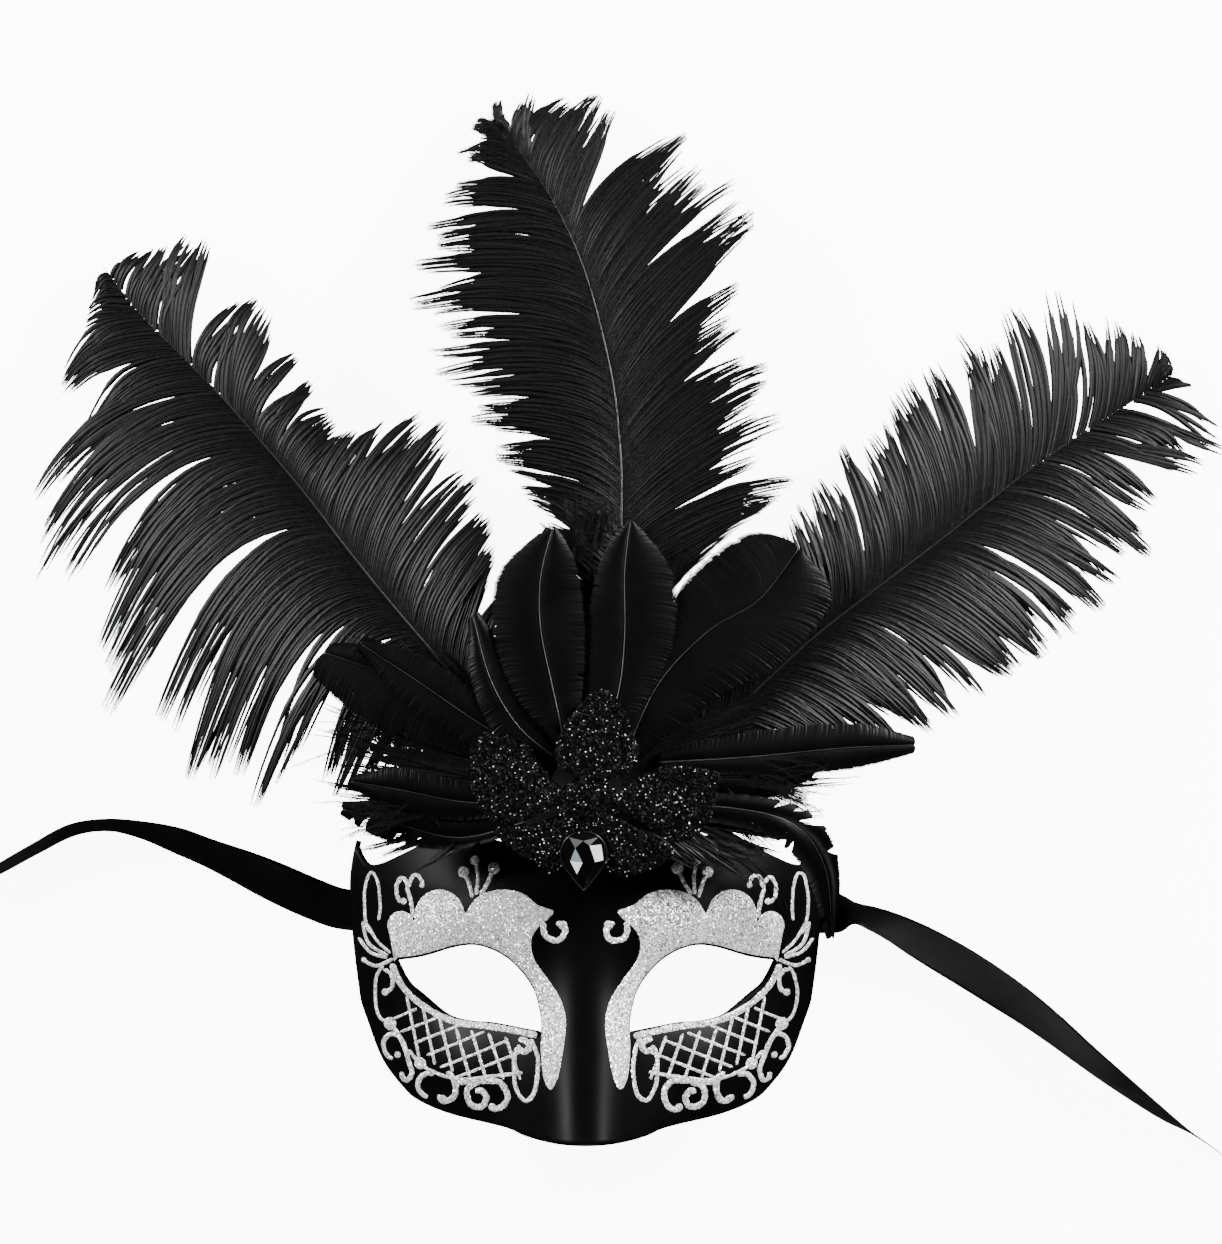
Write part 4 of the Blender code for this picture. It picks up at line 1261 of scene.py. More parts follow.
class BarbMaker:
    """Grows loose barbs with barbules, as an ostrich plume or a tuft of down has them."""

    def __init__(self, look: BarbLook, seed: int) -> None:
        """Keep the look and start the seeded draws."""
        self.look = look
        self.rng = np.random.default_rng(seed)

    def curves(self, starts: np.ndarray, ahead: np.ndarray, ends: np.ndarray, side: int) -> np.ndarray:
        """Bend barbs from the quill to their tips and gather them into fronds.

        Args:
            starts: The barbs' roots, as rows of x, y, in order along the quill.
            ahead: The quill's directions at the roots.
            ends: The barbs' tips, as rows of x, y.
            side: 1 for barbs on the quill's left, -1 for its right.

        Returns:
            Curves shaped barbs by rows by 2.
        """
        look, rng = self.look, self.rng
        count = len(starts)
        groups = max(count // look.strands, 1)
        sizes = rng.uniform(0.45, 1.6, groups)
        borders = np.cumsum(sizes) / sizes.sum() * count
        member = np.searchsorted(borders, np.arange(count) + 0.5).clip(0, groups - 1)
        late = np.clip((np.arange(count) / count - 0.7) / 0.3, 0.0, 1.0)
        long = rng.uniform(1.0 - look.ragged, 1.05, groups)[member] * look.longer
        long = long * (1.0 + look.wisps * late * rng.uniform(-0.3, 1.0, groups)[member])
        short = 1.0 - 0.30 * rng.uniform(0, 1, count) ** 2
        shift = rng.normal(0.0, look.stray, groups)[member]
        order = np.arange(count) / count
        ends = sampled(np.clip(order + shift, 0, 1), order, ends)
        ends = starts + (ends - starts) * (long * short)[:, None]
        reach = np.linalg.norm(ends - starts, axis=1, keepdims=True)
        root = turned(ahead, side * (look.lean + rng.uniform(-2.5, 2.5, count)))
        leads = starts + root * reach * 0.38
        bends = starts + (ends - starts) * 0.72 + ahead * reach * 0.07 - np.array(look.hang) * reach
        curves = bezier(starts, leads, bends, ends, look.rows)
        t = np.linspace(0.0, 1.0, look.rows)
        gather = np.clip((t - look.part * 0.7) / (1.0 - look.part * 0.7), 0.0, 1.0)
        strength = rng.uniform(0.45, 1.0, groups) * look.pull
        for group in range(groups):
            rows = member == group
            if rows.sum() > 1:
                mean = curves[rows].mean(axis=0, keepdims=True)
                curves[rows] += (mean - curves[rows]) * (gather ** 1.3 * strength[group])[None, :, None]
        sideways = np.stack([-(ends - starts)[:, 1], (ends - starts)[:, 0]], axis=1) / np.maximum(reach, 1.0)
        phase = rng.uniform(0, 2 * math.pi, groups)[member][:, None]
        pace = rng.uniform(2.5, 6.0, groups)[member][:, None]
        swing = np.sin(phase + t[None, :] * pace) * t[None, :] ** 1.5 * look.wave * 1.6
        drift = np.cumsum(rng.normal(0.0, 0.045, (count, look.rows)), axis=1) * t[None, :]
        flare = rng.normal(0.0, 0.35, (count, 1)) * np.clip(t[None, :] - 0.55, 0, 1)
        return curves + sideways[:, None, :] * (swing + drift + flare)[..., None]

    def lift(self, curves: np.ndarray, rise: np.ndarray) -> np.ndarray:
        """Raise flat curves to the fan, arched and a little tangled.

        Args:
            curves: Curves shaped barbs by rows by 2.
            rise: Each barb's height over the fan's underside at its root.

        Returns:
            Curves shaped barbs by rows by 3.
        """
        t = np.linspace(0.0, 1.0, curves.shape[1])[None, :]
        stray = self.rng.uniform(-0.6, 0.6, (len(curves), 1)) * t
        height = fan_height(curves) + rise[:, None] + 0.8 + 1.8 * np.sin(math.pi * t) + stray - 1.2 * t ** 2
        return np.concatenate([curves, np.maximum(height, BARB_CLEARANCE)[..., None]], axis=2)

    def strands(self, store: MeshStore, curves: np.ndarray) -> None:
        """Add each barb as a ridged strip, wide enough to meet its neighbour until the tufts part."""
        ahead = unit(np.gradient(curves, axis=1))
        across = unit(np.cross(ahead, SKY))
        gaps = np.abs(((curves[1:] - curves[:-1]) * across[:-1]).sum(axis=2))
        before = np.concatenate([gaps[:1], gaps])
        after = np.concatenate([gaps, gaps[-1:]])
        t = np.linspace(0.0, 1.0, curves.shape[1])[None, :]
        cover = 0.5 * 1.4 * np.maximum(before, after)
        widest = np.where(t < self.look.part, 1.0, self.look.cap)
        half = np.clip(cover, 0.24, widest) * (1.0 - 0.5 * np.clip(t - 0.6, 0, 1) / 0.4)
        half[:, -1] = 0.05
        half = half[..., None]
        ridge = curves + SKY * (0.10 + half * 0.7)
        store.add_grids(np.stack([curves - across * half, ridge, curves + across * half], axis=2))

    def barbules(self, store: MeshStore, curves: np.ndarray) -> None:
        """Add the fine down along both edges of each barb, one thin triangle for each barbule."""
        look, rng = self.look, self.rng
        steps = np.linalg.norm(np.diff(curves, axis=1), axis=2)
        ahead_rows = unit(np.gradient(curves, axis=1))
        points, ways, shares = [], [], []
        for curve, ahead, step in zip(curves, ahead_rows, steps):
            along = np.concatenate([[0.0], np.cumsum(step)])
            count = max(int(along[-1] / look.down_spacing), 3)
            places = (np.arange(count) + rng.uniform(0, 1, count)) / count * along[-1]
            points.append(sampled(places, along, curve))
            ways.append(sampled(places, along, ahead))
            shares.append(places / along[-1])
        place, way, share = np.concatenate(points), unit(np.concatenate(ways)), np.concatenate(shares)
        for side in (-1.0, 1.0):
            across = unit(np.cross(way, SKY)) * side
            angle = np.radians(rng.uniform(16.0, 48.0, len(place)))[:, None]
            tilt = rng.normal(0.0, 0.22, (len(place), 1))
            reach = look.down * rng.uniform(0.4, 1.2, (len(place), 1)) * (1.0 - 0.55 * share[:, None] ** 2)
            tip = place + (way * np.cos(angle) + across * np.sin(angle) + SKY * tilt) * reach
            tip[:, 2] = np.maximum(tip[:, 2], BARBULE_CLEARANCE)
            foot = way * 0.16
            corners = np.stack([place - foot, place + foot, tip], axis=1).reshape(-1, 3)
            store.add(corners, None, np.arange(len(corners)).reshape(-1, 3))


@dataclass
class Feather(Maker):
    """One feather of the fan: its quill and its vane, built from the plan that the CAD shares."""

    plan: FeatherPlan

    def quill_path(self, rows: int) -> np.ndarray:
        """Return the quill's middle line as rows of x, y, z at even steps."""
        flat = spaced(smooth_path(self.plan.quill, CURVE_STEPS), rows)
        rise = self.plan.rise(np.linspace(0.0, 1.0, rows)) + VANE_THICKNESS + QUILL_LIFT
        return np.column_stack([flat, fan_height(flat) + rise])

    def reach(self, points: Path, share: np.ndarray, tip_share: np.ndarray,
              samples: int) -> tuple[np.ndarray, ...]:
        """Read where barbs start and end.

        Args:
            points: The edge that the barbs reach.
            share: Where the barbs start, as shares of the quill.
            tip_share: Where the barbs end, as shares of the edge.
            samples: How finely the quill and the edge are read.

        Returns:
            The barbs' roots, the quill's directions there and the barbs' tips, all as rows of x, y.
        """
        quill = self.quill_path(samples)[:, :2]
        grid = np.linspace(0.0, 1.0, samples)
        ahead = unit(np.gradient(quill, axis=0))
        edge = spaced(smooth_path(points, CURVE_STEPS), samples)
        return sampled(share, grid, quill), unit(sampled(share, grid, ahead)), sampled(tip_share, grid, edge)

    def build_quill(self, radius: float, material: bpy.types.Material, taper: float = 0.9) -> None:
        """Build the tapering quill in place of the CAD's."""
        path = self.quill_path(48)
        store = MeshStore()
        store.add_tube(path, radius * (1.0 - 0.82 * np.linspace(0, 1, len(path)) ** taper), 8, 0.8)
        self.bench.piece(f"{self.plan.name}_shaft", store, material, "feather_quill",
                         (f"{self.plan.name}_quill",))


@dataclass
class OstrichPlume(Feather):
    """A long plume whose loose barbs carry down and part into tufts."""

    looks: tuple[BarbLook, BarbLook]
    seed: int = 1
    quill_radius: float = 0.62

    def build(self) -> None:
        """Grow both sides' barbs and the quill."""
        self.build_quill(self.quill_radius, self.finishes.dark_quill)
        for number, (side, points) in enumerate(((1, self.plan.left), (-1, self.plan.right))):
            look = self.looks[number]
            maker = BarbMaker(look, self.seed * 10 + number)
            count = look.fronds * look.strands
            share = np.linspace(look.first, look.last, count)
            thinned = (1.0 - look.open_tip) * np.clip((share - 0.6) / 0.25, 0, 1)
            share = share[maker.rng.uniform(0, 1, count) < 1.0 - thinned]
            tip_share = np.clip(share + look.sweep * np.sqrt(1 - share), 0.0, 1.0)
            starts, directions, ends = self.reach(points, share, tip_share, samples=240)
            curves = maker.lift(maker.curves(starts, directions, ends, side), self.plan.rise(share))
            store = MeshStore()
            maker.strands(store, curves)
            maker.barbules(store, curves)
            half = "left" if side == 1 else "right"
            replaced = (f"{self.plan.name}_vane",) if side == 1 else ()
            self.bench.piece(f"{self.plan.name}_barbs_{half}", store, self.finishes.ostrich, "ostrich_vane",
                             replaced, smooth=False)


@dataclass
class GooseFeather(Feather):
    """A smooth closed vane: barbs laid like shingles, hooked together except where they have split."""

    barbs: int = 150
    lean: float = 26.0
    bow: float = 0.9
    splits: int = 1
    split_depth: float = 0.3
    gap: float = 0.6            # how far a split opens, in barbs
    seed: int = 1
    quill_radius: float = 0.36

    def build(self) -> None:
        """Lay both sides' barbs and the quill."""
        self.build_quill(self.quill_radius, self.finishes.quill, taper=0.45)
        rng = np.random.default_rng(self.seed)
        store = MeshStore()
        for side, points in ((1, self.plan.left), (-1, self.plan.right)):
            self.half_vane(store, side, points, rng)
        self.bench.piece(f"{self.plan.name}_web", store, self.finishes.goose, "goose_vane",
                         (f"{self.plan.name}_vane",), smooth=False)

    def half_vane(self, store: MeshStore, side: int, points: Path, rng: np.random.Generator) -> None:
        """Lay the barbs on one side of the quill.

        Args:
            store: Where the faces go.
            side: 1 for the quill's left, -1 for its right.
            points: That side's edge.
            rng: The feather's seeded draws.
        """
        rows, count = 10, self.barbs + 1
        share = np.linspace(0.0, 0.995, count)
        tip_share = np.clip(share ** 0.86, 0.0, 1.0)
        starts, ways, ends = self.reach(points, share, tip_share, samples=200)
        ends = starts + (ends - starts) * rng.uniform(0.965, 1.02, count)[:, None]
        reach = np.linalg.norm(ends - starts, axis=1, keepdims=True)
        leads = starts + turned(ways, side * self.lean) * reach * 0.42
        bends = starts + (ends - starts) * 0.66 + ways * reach * 0.14
        curves = bezier(starts, leads, bends, ends, rows)
        t = np.linspace(0.0, 1.0, rows)
        height = (fan_height(curves) + self.plan.rise(share)[:, None] + VANE_THICKNESS + 0.3
                  - self.bow * t[None, :] ** 2 + 0.5 * np.sin(math.pi * t)[None, :]
                  + np.interp(share, np.linspace(0, 1, 9), rng.uniform(-0.25, 0.25, 9))[:, None] * t[None, :])
        curves = np.concatenate([curves, np.maximum(height, VANE_CLEARANCE)[..., None]], axis=2)
        step = curves[1:] - curves[:-1]
        own = curves[:-1]
        cover = np.full((self.barbs, rows), 1.3)
        for place in rng.integers(4, self.barbs - 3, self.splits):
            start = 1.0 - self.split_depth * rng.uniform(0.5, 1.2)
            widening = np.clip((t - start) / (1.0 - start), 0.0, 1.0) ** 0.7
            cover[place] -= 1.2 * widening
            for near in range(place + 1, min(place + 5, self.barbs)):
                closing = self.gap * (1.0 - (near - place - 1) / 4.0)
                own[near] += step[near] * (closing * widening)[:, None]
        cover = np.maximum(cover, 0.12)
        other = own + step * cover[..., None]
        other[..., 2] -= rng.uniform(0.01, 0.035, (self.barbs, 1))
        own[..., 2] += rng.uniform(0.0, 0.02, (self.barbs, 1))
        other[:, -1] = own[:, -1] * 0.55 + other[:, -1] * 0.45
        strip = np.stack([own, other], axis=2)
        store.add_grids(strip, flip=side == 1)


PLUME_PLANS: tuple[FeatherPlan, ...] = (
    FeatherPlan(
        "plume_centre", 0,
        [(4, 80), (11, 128), (13, 177), (12, 200), (9, 223), (0, 258), (-12, 285), (-27, 307), (-36, 317)],
        [(2, 84), (-8, 140), (-15, 165), (-31, 190), (-50, 216), (-62, 250), (-57, 276), (-44, 304),
         (-38, 316)],
        [(8, 84), (28, 140), (46, 162), (70, 178), (66, 210), (58, 245), (56, 280), (25, 314), (-34, 320)]),
    FeatherPlan(
        "plume_left", 1,
        [(-13, 80), (-31, 99), (-48, 114), (-70, 139), (-87, 160), (-104, 182), (-133, 215), (-161, 243),
         (-176, 262)],
        [(-15, 77), (-50, 82), (-88, 70), (-126, 61), (-161, 80), (-189, 120), (-198, 160), (-189, 213),
         (-179, 261)],
        [(-10, 83), (-28, 118), (-32, 150), (-40, 195), (-62, 208), (-84, 200), (-112, 236), (-142, 258),
         (-174, 265)]),
    FeatherPlan(
        "plume_right", 1,
        [(17, 79), (42, 92), (56, 103), (81, 126), (107, 146), (127, 161), (163, 189), (201, 214),
         (216, 224)],
        [(14, 82), (34, 106), (56, 140), (76, 172), (104, 208), (136, 231), (166, 242), (196, 236),
         (214, 226)],
        [(19, 76), (49, 80), (85, 84), (125, 98), (152, 114), (182, 138), (206, 172), (222, 198),
         (218, 221)]),
)
GOOSE_PLANS: tuple[FeatherPlan, ...] = (
    FeatherPlan(
        "feather_low_left", 2,
        [(-21, 61), (-45, 55), (-68, 60), (-87, 65)],
        [(-21, 58), (-45, 51), (-70, 53), (-88, 63)],
        [(-21, 64), (-50, 64), (-70, 67), (-87, 68)]),
    FeatherPlan(
        "feather_low_right", 2,
        [(30, 78), (50, 77), (68, 77), (82, 79)],
        [(30, 81), (50, 86), (68, 86), (82, 81)],
        [(30, 75), (48, 70), (66, 69), (81, 76)]),
    FeatherPlan(
        "feather_lower_left", 3,
        [(-24, 67), (-45, 68), (-66, 72), (-84, 75)],
        [(-24, 64), (-45, 61), (-68, 65), (-85, 73)],
        [(-24, 70), (-48, 76), (-68, 80), (-84, 77)]),
    FeatherPlan(
        "feather_side_right", 3,
        [(26, 82), (60, 84), (92, 87), (118, 88)],
        [(26, 86), (60, 93), (96, 96), (118, 91)],
        [(26, 79), (60, 77), (94, 79), (118, 85)]),
    FeatherPlan(
        "feather_long_left", 4,
        [(-16, 84), (-42, 99), (-68, 112), (-93, 121)],
        [(-18, 80), (-48, 86), (-80, 97), (-98, 113)],
        [(-14, 88), (-40, 106), (-66, 122), (-90, 125)]),
    FeatherPlan(
        "feather_droop_right", 4,
        [(24, 66), (50, 66), (74, 60), (86, 44), (89, 18)],
        [(24, 70), (52, 71), (79, 65), (91, 46), (90, 17)],
        [(24, 62), (48, 60), (68, 54), (79, 41), (87, 17)], droop=30),
    FeatherPlan(
        "feather_over_left", 5,
        [(-14, 82), (-38, 96), (-60, 111), (-80, 124)],
        [(-16, 79), (-42, 88), (-66, 104), (-82, 122)],
        [(-12, 85), (-34, 104), (-56, 119), (-79, 127)]),
    FeatherPlan(
        "feather_broad_right", 5,
        [(14, 84), (26, 110), (44, 129), (62, 140), (76, 158)],
        [(10, 88), (20, 122), (38, 150), (58, 164), (72, 162)],
        [(18, 81), (42, 102), (70, 118), (88, 140), (79, 157)]),
    FeatherPlan(
        "feather_small_left", 6,
        [(-11, 84), (-24, 95), (-34, 112), (-40, 134)],
        [(-13, 81), (-32, 92), (-41, 112), (-42, 133)],
        [(-9, 86), (-17, 100), (-26, 117), (-38, 136)]),
    FeatherPlan(
        "feather_upright_right", 6,
        [(6, 88), (12, 108), (14, 128), (14, 150), (16, 168)],
        [(3, 89), (-1, 110), (0, 132), (6, 156), (15, 169)],
        [(9, 87), (24, 108), (32, 128), (31, 150), (18, 168)]),
    FeatherPlan(
        "feather_upright_left", 7,
        [(-7, 88), (-12, 110), (-16, 130), (-16, 148), (-12, 165)],
        [(-10, 88), (-25, 106), (-33, 128), (-31, 150), (-14, 166)],
        [(-4, 88), (-1, 106), (0, 130), (-3, 152), (-10, 166)]),
)


# ---------------------------------------------------------------------------------------------------
# Loose down
# ---------------------------------------------------------------------------------------------------

@dataclass(frozen=True)
class TuftPlan:
    """A spray of loose down: where it grows from, which way, how far and how high over the table."""

    root: tuple[float, float]
    heading: float
    spread: float
    reach: float
    count: int
    height: float


LOOSE_TUFTS: tuple[TuftPlan, ...] = (
    TuftPlan((3, 162), 95, 60, 18, 110, 50), TuftPlan((58, 78), -14, 40, 34, 150, 50),
    TuftPlan((46, 68), -32, 30, 32, 90, 50), TuftPlan((-58, 66), 188, 26, 34, 90, 50),
    TuftPlan((-62, 92), 165, 44, 40, 110, 47),
)


DOWN_REACH: tuple[tuple[float, float], ...] = (
    (-38.0, 50.0), (-22.0, 76.0), (-10.0, 96.0), (8.0, 96.0), (30.0, 84.0), (50.0, 98.0), (72.0, 92.0),
    (90.0, 104.0), (104.0, 92.0), (116.0, 54.0), (128.0, 52.0), (142.0, 84.0), (160.0, 100.0), (178.0, 104.0),
    (190.0, 92.0), (204.0, 60.0),
)


@dataclass
class LooseDown(Maker):
    """The dense down about the feathers' roots, and the stray strands that lie on the brow."""

    tuft_look: BarbLook = field(default_factory=lambda: BarbLook(
        strands=6, lean=4.0, down=2.2, down_spacing=0.6, rows=10, wave=1.2, pull=0.3, cap=0.13, part=0.0))
    ring_look: BarbLook = field(default_factory=lambda: BarbLook(
        strands=9, lean=6.0, down=2.6, down_spacing=1.6, rows=10, wave=1.4, pull=0.4, cap=0.3, part=0.7))
    strands_in_ring: int = 1300
    ring_root: float = 13.0
    seed: int = 71

    def ring(self, store: MeshStore) -> None:
        """Spread a bed of down from under the flower, between the plumes and the smooth feathers."""
        maker = BarbMaker(self.ring_look, self.seed + 1)
        rng = maker.rng
        angles = np.linspace(DOWN_REACH[0][0], DOWN_REACH[-1][0], self.strands_in_ring)
        reach = np.interp(angles, *np.array(DOWN_REACH).T) * rng.uniform(0.80, 1.06, len(angles))
        ways = np.stack([np.cos(np.radians(angles)), np.sin(np.radians(angles))], axis=1)
        curves = maker.curves(FAN_CENTRE + ways * self.ring_root, ways, FAN_CENTRE + ways * reach[:, None], 1)
        height = fan_height(curves) + layer_height(2) - 0.6 + rng.uniform(-0.5, 0.5, (len(angles), 1))
        curves = np.concatenate([curves, height[..., None]], axis=2)
        maker.strands(store, curves)
        maker.barbules(store, curves)

    def tuft(self, store: MeshStore, maker: BarbMaker, plan: TuftPlan) -> None:
        """Spray one tuft's strands about its heading."""
        rng = maker.rng
        angle = np.radians(plan.heading + np.sort(rng.uniform(-plan.spread, plan.spread, plan.count)) / 1.6)
        ways = np.stack([np.cos(angle), np.sin(angle)], axis=1)
        starts = np.array(plan.root) + rng.normal(0.0, 2.6, (plan.count, 2))
        ends = starts + ways * plan.reach * rng.uniform(0.4, 1.0, (plan.count, 1))
        flat = maker.curves(starts, ways, ends, 1)
        t = np.linspace(0.0, 1.0, flat.shape[1])[None, :]
        start = plan.height + rng.uniform(-3.0, 2.5, (plan.count, 1))
        height = np.minimum(start, fan_height(flat) + 16.0) + rng.uniform(-3.0, 3.5, (plan.count, 1)) * t
        curves = np.concatenate([flat, height[..., None]], axis=2)
        maker.strands(store, curves)
        maker.barbules(store, curves)

    def brow_strands(self) -> None:
        """Lay the stray strands that fall from the drooping feather over the brow."""
        store = MeshStore()
        routes = (((40, 52), (55, 46), (66, 36), (71, 22)), ((34, 50), (47, 47), (57, 40), (64, 27)),
                  ((22, 44), (30, 38), (36, 31), (40, 26)), ((18, 43), (24, 36), (30, 30), (33, 27)),
                  ((48, 50), (60, 42), (69, 31), (75, 17)), ((58, 47), (67, 38), (74, 26), (77, 12)))
        for route in routes:
            path = FORM.surface(spaced(smooth_path(list(route), CURVE_STEPS), 26), 0.35)
            store.add_tube(path, 0.17 * (1.0 - 0.6 * np.linspace(0, 1, len(path))), 4)
        self.bench.piece("brow_strands", store, self.finishes.goose, "goose_vane")

    def build(self) -> None:
        """Build the tufts and the strands."""
        store = MeshStore()
        self.ring(store)
        self.bench.piece("down_bed", store, self.finishes.ostrich, "ostrich_vane", smooth=False)
        store = MeshStore()
        maker = BarbMaker(self.tuft_look, self.seed)
        for plan in LOOSE_TUFTS:
            self.tuft(store, maker, plan)
        self.bench.piece("loose_down", store, self.finishes.ostrich, "ostrich_vane", smooth=False)
        self.brow_strands()


# ---------------------------------------------------------------------------------------------------
# The flower, its gem and the backing
# ---------------------------------------------------------------------------------------------------

PETALS: dict[str, Path] = {
    "petal_top": [(1.5, 75.0), (-10.6, 82.5), (-7.3, 95.6), (6.2, 108.4), (17.2, 93.4), (17.0, 79.5)],
    "petal_upper_left": [(-5.8, 69.7), (-15.3, 80.6), (-22.6, 90.2), (-37.6, 92.3), (-41.6, 84.0),
                         (-40.6, 74.0), (-34.3, 61.8), (-20.4, 61.8)],
    "petal_upper_right": [(7.8, 69.7), (19.2, 76.7), (29.9, 81.4), (44.9, 79.2), (47.5, 76.7),
                          (44.2, 61.7), (33.2, 53.6), (20.5, 60.6)],
    "petal_lower_left": [(-4.6, 65.3), (-20.4, 59.8), (-33.0, 59.6), (-26.6, 51.0), (-16.4, 45.6),
                         (-12.5, 42.4), (-5.2, 48.5)],
    "petal_lower_right": [(6.0, 65.3), (19.7, 58.2), (31.4, 51.4), (25.9, 44.9), (11.0, 41.2), (4.0, 48.5)],
}
PETAL_THICKNESS = 1.6
FLOWER_HEIGHT = 67.0
HEART_RADIUS = 11.5
FLOWER_MIDDLE = np.array([1.0, 68.0])


def flower_height(plan: np.ndarray) -> np.ndarray:
    """Return the height of the flower's underside: level over the feathers, falling towards the brow."""
    x, y = plan[..., 0], plan[..., 1]
    return FLOWER_HEIGHT - 0.22 * np.maximum(68.0 - y, 0.0) - 0.0012 * x * x


@dataclass
class Flower(Maker):
    """Five stiff petals coated with coarse black glitter, and the glittered heart between them; a share of
    near-white flakes among the glitter are painted glints.
    """

    flakes_per_mm2: float = 3.2
    painted_glint_share: float = 0.036
    curl: float = 1.1
    seed: int = 23

    def skin(self, outline: Path, rng: np.random.Generator) -> tuple[Plan, np.ndarray]:
        """Fill a petal's ragged outline and return its plan and how far each vertex lies from the edge."""
        count = int(path_length(np.array(outline)) / 0.8)
        edge = spaced(outline + outline[:1], count)[:-1]
        ragged = edge + rng.normal(0.0, 0.13, edge.shape)
        plan = Plan.fill([tuple(point) for point in ragged], [], 1.3)
        border = plan.vertices[plan.loops[0]]
        depth = np.array([np.hypot(*(border - point).T).min() for point in plan.vertices])
        return plan, depth

    def top(self, plan: Plan, depth: np.ndarray, wave: float) -> np.ndarray:
        """Return the height of a petal's upper face: domed at the edge and gently waved."""
        x, y = plan.vertices[:, 0], plan.vertices[:, 1]
        dome = 0.55 * np.sqrt(np.clip(depth / 1.6, 0.0, 1.0))
        reach = np.hypot(x - FLOWER_MIDDLE[0], y - FLOWER_MIDDLE[1]) / 40.0
        turn = np.arctan2(y - FLOWER_MIDDLE[1], x - FLOWER_MIDDLE[0])
        ripple = 0.35 * np.sin(turn * 11.0 + wave) * np.minimum(reach, 1.0)
        return flower_height(plan.vertices) + PETAL_THICKNESS - 0.55 + dome + self.curl * reach ** 2 + ripple

    def glitter(self, plan: Plan, heights: np.ndarray, stores: tuple[MeshStore, MeshStore],
                rng: np.random.Generator) -> None:
        """Scatter flat six-sided flakes over a skin, each with its own tilt; a share of them are near-white
        painted glints.

        Args:
            plan: The skin's plan.
            heights: The heights of the plan's vertices.
            stores: Where the dark flakes and the painted glint flakes go.
            rng: The flower's seeded draws.
        """
        corners = np.column_stack([plan.vertices, heights])[plan.triangles]
        first, second = corners[:, 1] - corners[:, 0], corners[:, 2] - corners[:, 0]
        area = np.linalg.norm(np.cross(first, second), axis=1) / 2
        count = int(area.sum() * self.flakes_per_mm2)
        pick = rng.choice(len(corners), count, p=area / area.sum())
        u, v = rng.uniform(0, 1, (2, count, 1))
        fold = (u + v) > 1
        u, v = np.where(fold, 1 - u, u), np.where(fold, 1 - v, v)
        chosen = corners[pick]
        place = chosen[:, 0] + (chosen[:, 1] - chosen[:, 0]) * u + (chosen[:, 2] - chosen[:, 0]) * v
        # Painted glints: a share of the flakes are near-white, standing for flakes that catch the light on
        # the black glitter.
        bright = rng.uniform(0, 1, count) < self.painted_glint_share
        radius = np.where(bright, rng.uniform(0.13, 0.30, count), rng.uniform(0.24, 0.46, count))
        radius = radius[:, None, None]
        facing = unit(np.column_stack([rng.normal(0, 0.42, count), rng.normal(0, 0.42, count),
                                       np.ones(count)]))
        facing[bright, :2] *= 0.5
        across = unit(np.cross(facing, rng.normal(0, 1, (count, 3))))
        other = np.cross(facing, across)
        turn = np.arange(6) * math.pi / 3
        ring = across[:, None] * np.cos(turn)[None, :, None] + other[:, None] * np.sin(turn)[None, :, None]
        lift = np.where(bright, rng.uniform(0.24, 0.40, count), rng.uniform(0.08, 0.30, count))[:, None, None]
        flakes = place[:, None] + ring * radius + SKY * lift
        pattern = np.array([[0, 1, 2, 3], [0, 3, 4, 5]])
        for store, chosen_rows in zip(stores, (~bright, bright)):
            rows = flakes[chosen_rows]
            quads = (np.arange(len(rows))[:, None, None] * 6 + pattern[None]).reshape(-1, 4)
            store.add(rows.reshape(-1, 3), quads)

    def heart(self) -> Path:
        """Return the outline of the small pad between the petals' roots."""
        turn = circle(30)
        x, y = FLOWER_MIDDLE
        return [(x + HEART_RADIUS * math.cos(a), y - 2.0 + HEART_RADIUS * math.sin(a)) for a in turn]

    def build(self) -> None:
        """Build the petals, the heart and their glitter."""
        rng = np.random.default_rng(self.seed)
        flakes = (MeshStore(), MeshStore())
        shapes = {name: smooth_path(outline, 6, closed=True, corners=frozenset({0}))
                  for name, outline in PETALS.items()}
        shapes["flower_heart"] = self.heart()
        for number, (name, outline) in enumerate(shapes.items()):
            plan, depth = self.skin(outline, rng)
            heights = self.top(plan, depth, number * 1.7)
            if name == "flower_heart":
                heights -= 0.62
            low = np.minimum(heights - 0.35, flower_height(plan.vertices) + 0.1)
            store = MeshStore()
            store.add_slab(plan, heights, low)
            nodes = (name,) if name in PETALS else ()
            self.bench.piece(f"{name}_glittered", store, self.finishes.petal, "black_glitter", nodes)
            self.glitter(plan, heights, flakes, rng)
        # The second store holds the painted glint flakes.
        kinds = (("dark", self.finishes.dark_flake), ("bright", self.finishes.bright_flake))
        for store, (kind, material) in zip(flakes, kinds):
            self.bench.piece(f"{kind}_glitter_flakes", store, material, "black_glitter", smooth=False)


GEM_GIRDLE: Path = [(-0.6, 57.2), (4.6, 55.6), (7.2, 51.0), (6.0, 45.4), (-0.6, 37.0), (-7.2, 45.4),
                    (-8.4, 51.0), (-5.8, 55.6)]
GEM_CROWN: Path = [(-3.6, 51.8, 4.6), (-5.4, 47.1, 3.0), (-3.0, 42.4, 3.0), (-1.0, 46.6, 4.6),
                   (1.5, 52.7, 4.7), (5.6, 53.0, 3.4), (6.4, 47.5, 2.4), (3.5, 46.8, 3.9),
                   (-0.8, 54.4, 4.7), (0.4, 41.4, 3.4)]
# The cup's section: a share of the girdle's size and a height over the gem's underside.
CUP_PROFILE = ((0.3, -1.2), (1.02, -1.25), (1.075, -0.7), (1.07, 0.3), (1.035, 0.75), (0.99, 0.5),
               (0.97, -0.1))
# The facets, by crown point, that are painted with reflections: near-white (silver) and pale blue-grey
# (pale).
PAINTED_REFLECTION_FACETS = {"silver": [(4, 5, 6, 7), (1, 2, 3)], "pale": [(0, 1, 3)]}


